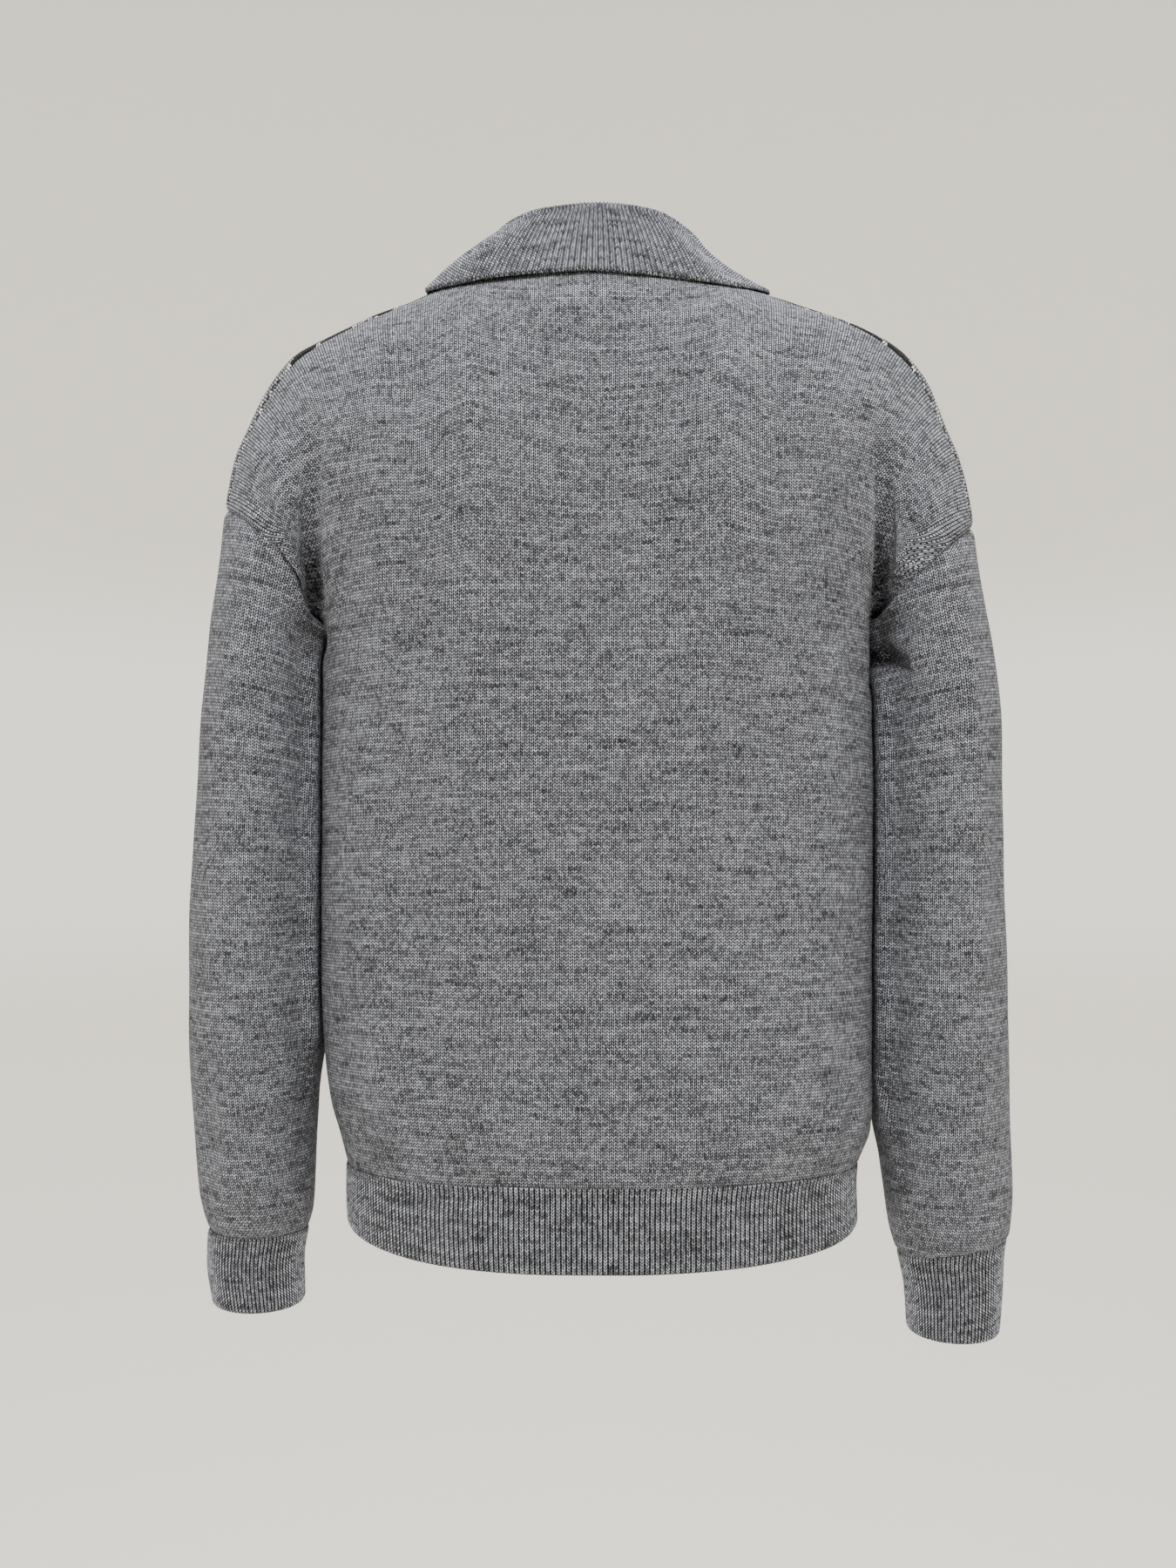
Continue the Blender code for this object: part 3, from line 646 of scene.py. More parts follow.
def knit_piece(node, points, normals, heights, knit, material, kept=None):
    """A closed thin shell between two heights over rows of points, with its knitting as a UV map.

    `knit` is (u, v), across the wales and along them. On a ring it has one more column than the points,
    because the last column of stitches meets the first one.
    """
    outer, inner = [points + normals * height[..., None] for height in heights]
    knit = np.stack(np.broadcast_arrays(*knit), axis=-1)
    rows, columns = points.shape[:2]
    wide = knit.shape[1]
    count = rows * columns
    row, place = np.divmod(np.arange(rows * wide), wide)
    vertex = row * columns + place % columns
    i, j = np.meshgrid(np.arange(rows - 1), np.arange(wide - 1), indexing="ij")
    cells = (i * wide + j).reshape(-1, 1) + (0, 1, wide + 1, wide)
    if kept is not None:
        cells = cells[kept(outer.reshape(-1, 3)[vertex[cells]].mean(axis=1))]
    p = outer.reshape(-1, 3)[vertex[cells]]
    facing = np.cross(p[:, 2] - p[:, 0], p[:, 3] - p[:, 1])
    if np.sum(facing * normals.reshape(-1, 3)[vertex[cells[:, 0]]]) < 0:
        cells = cells[:, ::-1]
    starts = cells.reshape(-1)
    ends = np.roll(cells, -1, axis=1).reshape(-1)
    there = set(zip(vertex[ends].tolist(), vertex[starts].tolist()))
    pairs = enumerate(zip(vertex[starts].tolist(), vertex[ends].tolist()))
    rim = [number for number, pair in pairs if pair not in there]
    a, b = starts[rim], ends[rim]
    corners = np.concatenate([cells, cells[:, ::-1], np.stack([b, a, a, b], -1)])
    inside = np.repeat([(0, 0, 0, 0), (1, 1, 1, 1), (0, 0, 1, 1)], [len(cells), len(cells), len(a)], axis=0)
    used, faces = np.unique(vertex[corners] + count * inside, return_inverse=True)
    vertices = np.concatenate([outer.reshape(-1, 3), inner.reshape(-1, 3)])[used]
    mesh = bpy.data.meshes.new(f"{node}_knit")
    mesh.from_pydata(vertices.tolist(), [], faces.reshape(-1, 4).tolist())
    layer = mesh.uv_layers.new(name="knit")
    layer.data.foreach_set("uv", knit.reshape(-1, 2)[corners].astype(np.float32).ravel())
    mesh.shade_smooth()
    mesh.validate()
    return dressed(placed(f"{node}_knit", mesh), material, node)


# ---- materials ----

WALE = 0.0025
COURSE = 0.0018
RIB_PERIOD = 0.0025
COLLAR_RIB_PERIOD = 0.0029
DARK_YARN = (0.030, 0.032, 0.037, 1.0)
LIGHT_YARN = (0.425, 0.445, 0.515, 1.0)
BLACK_YARN = (0.008, 0.008, 0.009, 1.0)
WHITE_YARN = (0.620, 0.610, 0.585, 1.0)
# The knit's colour is scaled by its stitch height: by the first value in the gaps, a painted shade, and by
# the second on the yarn's tops, a painted highlight.
PAINTED_GAP_SHADE = 0.03
PAINTED_TOP_LIGHT = 1.80


class Value:
    """What a node of a material gives. Arithmetic with it adds the math nodes that work it out."""

    def __init__(self, nodes, socket):
        self.nodes = nodes
        self.socket = socket

    def math(self, operation, *others):
        return self.nodes.add("Math", {0: self, **dict(enumerate(others, 1))}, operation=operation)

    def __rsub__(self, other):
        return self.nodes.add("Math", {0: other, 1: self}, operation="SUBTRACT")

    __add__ = partialmethod(math, "ADD")
    __sub__ = partialmethod(math, "SUBTRACT")
    __mul__ = partialmethod(math, "MULTIPLY")
    __truediv__ = partialmethod(math, "DIVIDE")
    __mod__ = partialmethod(math, "MODULO")
    __pow__ = partialmethod(math, "POWER")
    __lt__ = partialmethod(math, "LESS_THAN")
    __gt__ = partialmethod(math, "GREATER_THAN")
    __abs__ = partialmethod(math, "ABSOLUTE")
    fract = partialmethod(math, "FRACT")
    floor = partialmethod(math, "FLOOR")


class Nodes:
    """Short ways to add a material's nodes and join them up."""

    def __init__(self, name):
        self.material = bpy.data.materials.new(name)
        self.material.use_nodes = True
        self.tree = self.material.node_tree
        self.shader = self.tree.nodes["Principled BSDF"]

    def put(self, socket, value):
        if isinstance(value, Value):
            self.tree.links.new(value.socket, socket)
        else:
            socket.default_value = value

    def add(self, kind, inputs, output=0, **settings):
        """One output of a new node, with the node's settings and inputs filled in."""
        node = self.tree.nodes.new(f"ShaderNode{kind}")
        for key, setting in settings.items():
            setattr(node, key, setting)
        for key, value in inputs.items():
            self.put(node.inputs[key], value)
        return Value(self, node.outputs[output])

    def ramp(self, value, low, high, to_low=0.0, to_high=1.0):
        inputs = {"Value": value, "From Min": low, "From Max": high, "To Min": to_low, "To Max": to_high}
        return self.add("MapRange", inputs, interpolation_type="SMOOTHSTEP")

    def mix(self, share, first, second):
        return self.add("Mix", {"Factor": share, "A": first, "B": second}, "Result", data_type="RGBA")

    def scaled(self, colour, amount):
        return self.add("VectorMath", {0: colour, "Scale": amount}, operation="SCALE")

    def place(self, x, y, z=0.0):
        return self.add("CombineXYZ", {0: x, 1: y, 2: z})

    def noise(self, place, detail, rough=0.55, scale=1.0):
        inputs = {"Vector": place, "Scale": scale, "Detail": detail, "Roughness": rough}
        return self.add("TexNoise", inputs, "Fac")

    def random(self, place):
        return self.add("TexWhiteNoise", {"Vector": place}, "Value")

    def apart(self, place):
        """The x, y and z of a place."""
        first = self.add("SeparateXYZ", {0: place})
        return [Value(self, socket) for socket in first.socket.node.outputs]

    def knit_place(self):
        return self.apart(self.add("UVMap", {}, uv_map="knit"))[:2]

    def object_place(self):
        return self.add("TexCoord", {}, "Object")

    def surface(self, colour, roughness, specular=0.5):
        self.put(self.shader.inputs["Base Color"], colour)
        self.shader.inputs["Roughness"].default_value = roughness
        self.shader.inputs["Specular IOR Level"].default_value = specular
        return self.material

    def knitted(self, colour, height, u, v, deep, top_light_scale=1.0):
        """A knit whose yarn stands up, with painted shade in its gaps and a painted highlight on the yarn's
        tops, and with the yarn's own fine fibres on top.
        """
        colour = self.scaled(colour, self.ramp(height, 0.25, 1.0, PAINTED_GAP_SHADE, PAINTED_TOP_LIGHT * top_light_scale))
        fibres = self.noise(self.place(u * 2600.0, v * 2100.0), 2.0)
        bump = self.add("Bump", {"Distance": deep, "Strength": 1.0, "Height": height + fibres * 0.35})
        self.put(self.shader.inputs["Normal"], bump)
        self.shader.inputs["Sheen Weight"].default_value = 0.03
        self.shader.inputs["Sheen Roughness"].default_value = 0.6
        return self.surface(colour, 0.92, 0.15)


def legs(nodes, off_centre, v):
    """The two slanting legs of each stitch: 1 along the top of the yarn, 0 in the gaps.

    `off_centre` runs from 0 in the middle of a wale to 0.5 at its edge.
    """
    climbed = v / COURSE - off_centre * 1.7
    along = (climbed.fract() - 0.5) * 2.35
    yarn = (1.0 - along * along).math("MAXIMUM", 0.0).math("SQRT")
    grooves = nodes.ramp(off_centre, 0.34, 0.50, 1.0, 0.26) * nodes.ramp(off_centre, 0.0, 0.15, 0.38, 1.0)
    return yarn * grooves, climbed


def marl(nodes, u, v, climbed, wales):
    """The colour of the mixed yarn at each place: light and dark streaks a course tall, and single legs."""
    course = climbed.floor()
    single = nodes.random(nodes.place((wales * 2.0).floor(), course))
    streaks = nodes.noise(nodes.place(u * 120.0, course * 0.83), 2.0, 0.6)
    long = nodes.noise(nodes.place(u * 30.0, course * 0.47, 3.1), 1.0)
    broad = nodes.noise(nodes.place(u * 26.0, v * 42.0, 7.7), 2.0)
    light = (streaks - 0.5) * 0.80 + 0.5
    for part, weight in ((single, 0.52), (long, 0.72), (broad, 0.22)):
        light = light + (part - 0.5) * weight
    return nodes.mix(light.math("MAXIMUM", 0.0) ** 1.3, DARK_YARN, LIGHT_YARN)


def stockinette(name, pattern=None):
    nodes = Nodes(name)
    u, v = nodes.knit_place()
    wales = u / WALE
    height, climbed = legs(nodes, abs(wales.fract() - 0.5), v)
    colour = marl(nodes, u, v, climbed, wales)
    if pattern is not None:
        colour = pattern(nodes, wales, climbed, colour)
    return nodes.knitted(colour, height, u, v, 0.0008)


# The front's diamonds, and the place where two of them touch: over the shoulder, out from the neck.
DIAMOND_WIDE = 0.0558
DIAMOND_TALL = 0.072
TOUCH_ACROSS = 2.5 * DIAMOND_WIDE
TOUCH_UP = 0.5860


def argyle(nodes, wales, climbed, ground):
    """Black diamonds with off-white edges on a speckled ground, crossed by fine lines, stitch by stitch."""
    wale = wales.floor()
    course = climbed.floor()
    across = abs((wale + 0.5) * WALE)
    up = (course + 0.5) * COURSE
    beyond = across > TOUCH_ACROSS + DIAMOND_WIDE

    def slants(shift):
        x = (across - (TOUCH_ACROSS + shift)) / DIAMOND_WIDE
        y = (up - TOUCH_UP) / DIAMOND_TALL + 0.5
        return abs(x.fract() - 0.5) + abs(y.fract() - 0.5)

    speck = abs((abs(course) + wale * 2.0) % 4.0)
    colour = nodes.mix((speck < 0.5) * 0.85, ground, BLACK_YARN)
    colour = nodes.mix(speck.math("COMPARE", 2.0, 0.3) * 0.45, colour, WHITE_YARN)
    reach = slants(0.0) + beyond
    colour = nodes.mix(reach < 0.495, colour, WHITE_YARN)
    colour = nodes.mix(reach < 0.465, colour, BLACK_YARN)
    crossed = abs(slants(DIAMOND_WIDE / 2) - 0.5) + beyond
    return nodes.mix(crossed < 0.022, colour, WHITE_YARN)


def rib(name, period, knit_width, top_light_scale, purl_height):
    """Knit ribs, with lower purl stitches in the hollows between them, which get the painted gap shade."""
    nodes = Nodes(name)
    u, v = nodes.knit_place()
    ribs = u / period
    off_centre = abs(ribs.fract() - 0.5) * (period / knit_width)
    height, climbed = legs(nodes, off_centre.math("MINIMUM", 0.5), v)
    colour = marl(nodes, u, v, climbed, ribs)
    on_knit = nodes.ramp(off_centre, 0.40, 0.56, 1.0, 0.0)
    height = height * on_knit + (1.0 - on_knit) * purl_height
    return nodes.knitted(colour, height, u, v, 0.0007, top_light_scale)


def fibre_material():
    return Nodes("loose_fibre").surface((0.36, 0.365, 0.38, 1.0), 0.9)


def button_material():
    nodes = Nodes("button_resin")
    mottle = nodes.ramp(nodes.noise(nodes.object_place(), 3.0, 0.5, 420.0), 0.35, 0.7)
    return nodes.surface(nodes.mix(mottle, (0.016, 0.016, 0.018, 1), (0.060, 0.061, 0.066, 1)), 0.42, 0.35)


def thread_material():
    nodes = Nodes("button_thread")
    mottle = nodes.noise(nodes.object_place(), 2.0, 0.5, 2500.0)
    return nodes.surface(nodes.mix(mottle, (0.03, 0.03, 0.032, 1), (0.12, 0.12, 0.125, 1)), 0.8)


# ---- the stockinette pieces ----


def stops_with_edges(count, before, after):
    """Even stops from 0 to 1, with closer ones just inside the ends that have a seam."""
    close = np.array([0.0032, 0.0070, 0.0120, 0.0180])
    stops = np.linspace(0, 1, count)
    if before:
        stops = np.concatenate([stops[stops < 1e-9], close, stops[stops > 0.021]])
    if after:
        stops = np.concatenate([stops[stops < 0.979], 1 - close[::-1], stops[stops > 1 - 1e-9]])
    return stops


LOWER_STOPS = stops_with_edges(84, True, False)[:-1]
UPPER_STOPS = stops_with_edges(108, False, True)


def panel_stops():
    """The panels' columns, from one side to the other, closest where the folds above the armpits run."""
    neck = np.linspace(0, NECK_SHARE, 17)[:-1]
    shoulder = np.linspace(NECK_SHARE, 0.70, 31)[:-1]
    before = (-14.0, -11.0, -8.5, -6.5, -5.0, -3.7, -2.6, -1.7, -0.9, -0.2)
    past = (0.5, 1.2, 2.0, 2.9, 4.0, 5.4, 7.2, 9.5, 12.5, 16.0)
    fold = FOLD_AT + np.array(before + past) / 260
    side = fold[-1] + (1 - fold[-1]) * stops_with_edges(18, False, True)[1:]
    half = np.concatenate([neck, shoulder, fold, side])
    return np.concatenate([-half[:0:-1], half])


def panel_row(across, part, t, face):
    """One row of a panel: part 0 lies below the underarms and part 1 above."""
    if part == 1:
        return yoke_points(across, t, face)
    return body_points(across, hem_height(across, HEM_TOP), under_row(across)[1], t, face)


def along_folds(across, part, t, face):
    """The row's stops moved along it so that one column follows each fold's edge."""
    moved = across.copy()
    for fold in FOLDS:
        if fold.face != face:
            continue
        tries = np.linspace(0.36, 0.99, 200)
        tried = panel_row(fold.sign * tries, part, t, face)
        past = np.abs(tried[:, 0]) - fold_edge(fold, tried[:, 2])
        at = np.interp(0, past, tries)
        z = np.interp(at, tries, tried[:, 2])
        held = smoothstep((fold.z_from + 0.03 - z) / 0.04) * smoothstep((z - fold.z_to + 0.08) / 0.07)
        away = np.abs(across)
        inside = smoothstep((away - 0.36) / (FOLD_AT - 0.36))
        outside = smoothstep((1 - away) / (1 - FOLD_AT))
        share = np.where(away < FOLD_AT, inside, outside)
        shift = fold.sign * held * (at - FOLD_AT) * share
        moved = np.where(across * fold.sign > 0, moved + shift, moved)
    return moved


def armhole_turns():
    """The armhole's points, up its back and down its front, at the same turns as the panels' columns."""
    wrap = float(shoulder_wrap(np.array(1.0)))
    rows = UPPER_STOPS[::2]
    behind = rows * (1 - wrap)
    before = rows[-2::-1] * (1 + wrap)
    return np.concatenate([behind, before]), np.repeat([BACK, FRONT], [len(behind), len(before)])


def off_neck_slit(places):
    """Which places of the front lie outside the slit that the placket fills."""
    return (np.abs(places[:, 0]) >= PLACKET_HALF_WIDTH - 0.002) | (places[:, 2] <= LEFT.under_z + 0.003)


def build_panel(node, face, creases, material):
    rows = [(0, t) for t in LOWER_STOPS] + [(1, t) for t in UPPER_STOPS]
    across = panel_stops()
    plain = np.linspace(-1, 1, 181)
    straight = np.array([panel_row(plain, part, t, face) for part, t in rows])
    wales = lengths_along(straight[: len(LOWER_STOPS) + len(UPPER_STOPS) // 2], 1)
    wales = (wales - wales[:, 90:91]).mean(axis=0)
    courses = lengths_along(straight, 0)
    for _ in range(90):
        courses = evened(courses)
    points, u, v = [], [], []
    for (part, t), course in zip(rows, courses):
        stops = along_folds(across, part, t, face)
        points.append(panel_row(stops, part, t, face))
        u.append(np.interp(stops, plain, wales))
        v.append(np.interp(stops, plain, course))
    points, u, v = np.array(points), np.array(u), np.array(v)
    normals = outward_normals(points, (0, face, 0), passes=2)
    folds = folded(points, face)
    longer = lengths_along(points + normals * folds[..., None], 1) - lengths_along(points, 1)
    u = u + longer - longer[:, len(across) // 2][:, None]
    raised = creased(points, creases) + folds + waved(points)
    sides = rolled(edge_distance(points, "left", "right"), 0.0012, 0.0018)
    start = rolled(edge_distance(points, "start"), 0.0008, 0.0014)
    end = rolled(edge_distance(points, "end"), 0.0024, 0.0022)
    heights = (raised + np.minimum(sides, start + end), raised - WALL)
    kept = None if face == BACK else off_neck_slit
    piece = knit_piece(node, points, normals, heights, (u, v), material, kept)
    return piece, points + normals * heights[0][..., None]


def against(points, normals, body, side):
    """How far a sleeve's wall moves out to lean on the body, and how far it holds back from it."""
    tree = KDTree(len(body))
    for number, place in enumerate(body):
        tree.insert(place, number)
    tree.balance()
    low_z = -0.505 if side.sign > 0 else -0.548
    flat = points.reshape(-1, 3)
    facing = normals.reshape(-1, 3)
    moved = np.zeros(len(flat))
    for number in np.nonzero((flat[:, 0] * side.sign < 0.205) & (flat[:, 2] > low_z - 0.04))[0]:
        nearest, _, distance = tree.find(flat[number])
        if distance > 0.016:
            continue
        towards = (np.array(nearest) - flat[number]) @ facing[number] / max(distance, 1e-6)
        room = distance * towards - SLEEVE_CLEAR
        leans = smoothstep((0.0155 - distance) / 0.007) * smoothstep((flat[number, 2] - low_z + 0.03) / 0.05)
        moved[number] = room if room < 0 else room * leans
    return moved.reshape(points.shape[:-1])


def build_sleeve(side, material, body):
    armhole = (side.shoulder_z, side.under_z)
    rings = np.array([sleeve_ring(side, t, armhole, side.wrist) for t in stops_with_edges(130, True, True)])
    closed = np.concatenate([rings[:, :-1], rings[:, :1]], axis=1)
    u = lengths_along(closed * (1, 1, 0), 1)
    u = u - u[:, -1:] / 2
    middle_z = closed[..., 2].mean(axis=1, keepdims=True)
    slanted = 0.4 * smoothstep((middle_z + 0.42) / 0.20)
    v = closed[..., 2] + slanted * (middle_z - closed[..., 2])
    points = rings[:, :-1]
    normals = outward_normals(points, from_middle(points), True, 2)
    raised = creased(points, SLEEVE_CREASES) + waved(points)
    raised = raised + rolled(edge_distance(points, "start"), 0.0026, 0.0036)
    raised = raised + rolled(edge_distance(points, "end"), 0.0014, 0.0020)
    leaning = against(points + normals * raised[..., None], normals, body, side)
    raised = raised + smoothed(leaning, True, 2)
    heights = (raised, raised - WALL)
    return knit_piece(f"sleeve_{side.name}", points, normals, heights, (u, v), material)


# ---- the ribbed pieces ----


def rib_height(phase, high, deep, share=0.44):
    """The rib's section at a phase that grows by 1 a rib: a rounded ridge, and a hollow between ridges."""
    off_middle = np.abs(phase - np.floor(phase) - 0.5)
    ridge = np.sqrt(np.clip(1 - (off_middle / (share / 2 + 0.06)) ** 2, 0, 1))
    return -deep + (deep + high) * ridge


def build_hem(node, face, material):
    ribs = 148
    across = np.linspace(-1, 1, ribs * 5 + 1)
    ups = np.concatenate([[0, 0.012, 0.03, 0.06], np.linspace(0.1, 0.94, 16), [0.97, 0.985, 1.0]])
    low = hem_height(across, HEM_END)
    high = hem_height(across, HEM_TOP)
    points = np.array([body_points(across, low, high, t, face) for t in ups])
    length = lengths_along(points, 1)
    phase = length[:1] / length[0, -1] * ribs
    normals = outward_normals(points, (0, face, 0))
    edge = edge_distance(points, "start")
    top = edge_distance(points, "end", "left", "right")
    ridges = rib_height(phase, 0.0002, 0.0004) * smoothstep(top / 0.006)
    raised = waved(points) * smoothstep(top / 0.02)
    outer = raised + ridges + rolled(edge, 0.0011, 0.0012) + rolled(top, 0.0004, 0.0010)
    inner = raised - RIB_WALL + 0.4 * ridges - rolled(edge, 0.0005, 0.0012)
    knit = (phase * RIB_PERIOD, lengths_along(points, 0))
    return knit_piece(node, points, normals, (outer, inner), knit, material)


def build_cuff(side, material):
    ribs = 84
    downs = np.concatenate([[0, 0.012, 0.03], np.linspace(0.06, 0.92, 16), [0.95, 0.975, 0.99, 1.0]])
    coarse = np.array([sleeve_ring(side, t, side.wrist, (side.end_z, side.end_z)) for t in downs])
    turns = np.arange(ribs * 5) / (ribs * 5)
    points = np.empty((len(downs), len(turns), 3))
    for row, (ring, at) in enumerate(zip(coarse, lengths_along(coarse, 1))):
        for axis in range(3):
            points[row, :, axis] = np.interp(turns * at[-1], at, ring[:, axis])
    normals = outward_normals(points, from_middle(points), True, 3)
    top = edge_distance(points, "start")
    edge = edge_distance(points, "end")
    phase = np.append(turns, 1.0)[None] * ribs
    ridges = rib_height(phase[:, :-1], 0.0002, 0.0004) * smoothstep(top / 0.005)
    outer = ridges + rolled(edge, 0.0010, 0.0012) + rolled(top)
    inner = 0.4 * ridges - RIB_WALL - rolled(edge, 0.0005, 0.0012)
    down = lengths_along(points, 0)
    knit = (phase * RIB_PERIOD, -np.concatenate([down, down[:, :1]], axis=1))
    return knit_piece(f"cuff_{side.name}", points, normals, (outer, inner), knit, material)


def collar_column(name):
    """A column of the collar's table, carried on past the middle of the back so that it is smooth there."""
    sign = -1 if name.endswith("_x") else 1
    other_side = [row._replace(turn=-row.turn, **{name: sign * getattr(row, name)}) for row in COLLAR[1:]]
    return column(other_side + COLLAR, name)


def collar_half(turn, sign):
    """One side's sections, from the middle of the back: up the stand, over the fold and down the leaf."""
    read = {name: collar_column(name)(turn) for name in Collar._fields[1:]}
    if sign < 0:
        read["fold_z"] = read["fold_z"] - read["slump_right"]
        read["lift"] = read["lift"] - read["droop_right"]
    seam = neck_seam(np.minimum(turn, 0.985)) + (0, 0, 2.2 * SEAM_GAP)
    fold = np.stack([read["fold_x"], read["fold_y"], read["fold_z"]], axis=-1)
    edge_z = surface_height(sign * read["edge_x"], read["edge_y"]) + read["lift"]
    edge = np.stack([read["edge_x"], read["edge_y"], edge_z], axis=-1)
    out = unit((edge - fold) * (1, 1, 0))
    up = np.array([0, 0, 1])
    middle = fold - up * COLLAR_FOLD_RADIUS
    inside = middle - COLLAR_FOLD_RADIUS * out
    outside = middle + COLLAR_FOLD_RADIUS * out
    bow = (read["bow_left"] if sign > 0 else read["bow_right"])[:, None]
    slope = edge - outside
    run = np.linalg.norm(slope[:, :2], axis=1)
    lifted = unit(np.stack([-slope[:, 2] * out[:, 0], -slope[:, 2] * out[:, 1], run], axis=-1))
    stand = [seam + (inside - seam) * t for t in np.linspace(0, 1, 7)[:-1]]
    angles = np.linspace(0, math.pi, 9)
    arc = [middle + COLLAR_FOLD_RADIUS * (math.sin(angle) * up - math.cos(angle) * out) for angle in angles]
    downs = np.concatenate([np.linspace(0, 0.93, 15)[1:], [0.955, 0.975, 0.99, 1.0]])
    leaf = [outside + slope * t + 4 * t * (1 - t) * bow * lifted for t in downs]
    points = np.array(stand + arc + leaf)
    front = turn > 0.5
    points[:, front, 0] = np.maximum(points[:, front, 0], COLLAR_HALF_OPENING)
    return points * (sign, 1, 1)


def build_collar(material):
    ribs = 176
    rough = np.linspace(0, 1, 200)
    length = lengths_along(collar_half(rough, 1)[22:23], 1)[0]
    even = np.interp(np.linspace(0, 1, ribs * 5 // 2 + 1), length / length[-1], rough)
    points = np.concatenate([collar_half(even, -1)[:, ::-1], collar_half(even, 1)[:, 1:]], axis=1)
    phase = np.linspace(0, ribs, points.shape[1])[None]
    normals = outward_normals(points, (0, 0, 1), passes=2)
    ends = edge_distance(points, "left", "right")
    edge = edge_distance(points, "end")
    seam = edge_distance(points, "start")
    bead = 0.0006 * np.exp(-(((edge - 0.0016) / 0.0012) ** 2))
    ridges = rib_height(phase, 0.0002, 0.0006, 0.5) * smoothstep(edge / 0.004) * smoothstep(seam / 0.004)
    raised = waved(points, 0.0005)
    outer = raised + ridges + bead + rolled(edge, 0.0011, 0.0009) + rolled(ends, 0.0008, 0.0012)
    inner = raised - RIB_WALL + 0.3 * ridges - bead * 0.5 - rolled(edge, 0.0004, 0.0009)
    knit = (phase * COLLAR_RIB_PERIOD, lengths_along(points, 0))
    return knit_piece("collar", points, normals, (outer, inner), knit, material)


# ---- placket and buttons ----


def build_band(node, proud, high, material):
    """A ribbed band down the front's slit, standing this far out of the panel's surface."""
    ribs = 9
    x = np.linspace(-1, 1, ribs * 6 + 1) * (PLACKET_HALF_WIDTH - SEAM_GAP)
    top = neck_height(x, FRONT) - SEAM_GAP
    bottom = (LEFT.under_z + RIGHT.under_z) / 2 + 0.0006
    ups = stops_with_edges(70, True, True)
    points = np.array([on_surface(x, bottom + (top - bottom) * t, FRONT) for t in ups])
    normals = outward_normals(points, (0, FRONT, 0))
    edge = edge_distance(points, "left", "right", "start", "end")
    phase = np.linspace(0, ribs, len(x))[None]
    ridges = rib_height(phase, high, high) * smoothstep(edge / 0.002)
    middle = proud + waved(points)
    heights = (middle + ridges + rolled(edge, 0.0008, 0.0009), middle - WALL)
    knit = (phase * COLLAR_RIB_PERIOD, lengths_along(points, 0))
    return knit_piece(node, points, normals, heights, knit, material)


def button_place(drop):
    """A button's middle and its outward direction."""
    z = float(neck_height(np.array(0.0), FRONT)) - drop
    depth, higher = surface_depth(np.zeros(2), np.array([z, z + 0.001]), FRONT)
    tilt = math.atan2(depth - higher, 0.001)
    normal = Vector((0, -math.cos(tilt), math.sin(tilt)))
    return Vector((0, -depth - PLACKET_PROUD, z)) + normal * (LAY_GAP + BUTTON_THICK / 2), normal


def turned_rings(section, segments):
    """Points turned about the upright axis from radii and heights, and the faces between their rings."""
    points = []
    for radius, height in section:
        for step in range(segments):
            angle = 2 * math.pi * step / segments
            points.append(Vector((radius * math.cos(angle), radius * math.sin(angle), height)))
    faces = []
    for low in range(0, segments * (len(section) - 1), segments):
        for step in range(segments):
            after = (step + 1) % segments
            faces.append((low + step, low + segments + step, low + segments + after, low + after))
    return points, faces


def turned(name, section, around, segments=48):
    """A solid turned about `around`, a point and a direction, from a section of radius and height."""
    centre, direction = around
    turn = direction.to_track_quat("Z", "Y")
    rings, faces = turned_rings(section[1:-1], segments)
    ends = [Vector((0, 0, section[0][1])), Vector((0, 0, section[-1][1]))]
    first, last = len(rings), len(rings) + 1
    for step in range(segments):
        after = (step + 1) % segments
        low = len(rings) - segments
        faces += [(first, step, after), (low + step, last, low + after)]
    mesh = bpy.data.meshes.new(name)
    mesh.from_pydata([tuple(centre + turn @ point) for point in rings + ends], [], faces)
    mesh.shade_smooth()
    return placed(name, mesh)


# A button's section in mm, from its middle to its rim and under: radius and height over its middle plane.
BUTTON_SECTION = (
    (0, 0.20),
    (2.4, 0.22),
    (3.4, 0.40),
    (4, 0.85),
    (4.6, 1.10),
    (5.1, 1.00),
    (5.5, 0.50),
    (5.5, -0.20),
    (5, -0.80),
    (3.8, -1.10),
    (0, -1.10),
)
HOLE_SECTION = ((0.0, 4.0), (0.6, 4.0), (0.6, -4.0), (0.0, -4.0))
HOLE_OFF = 0.00115


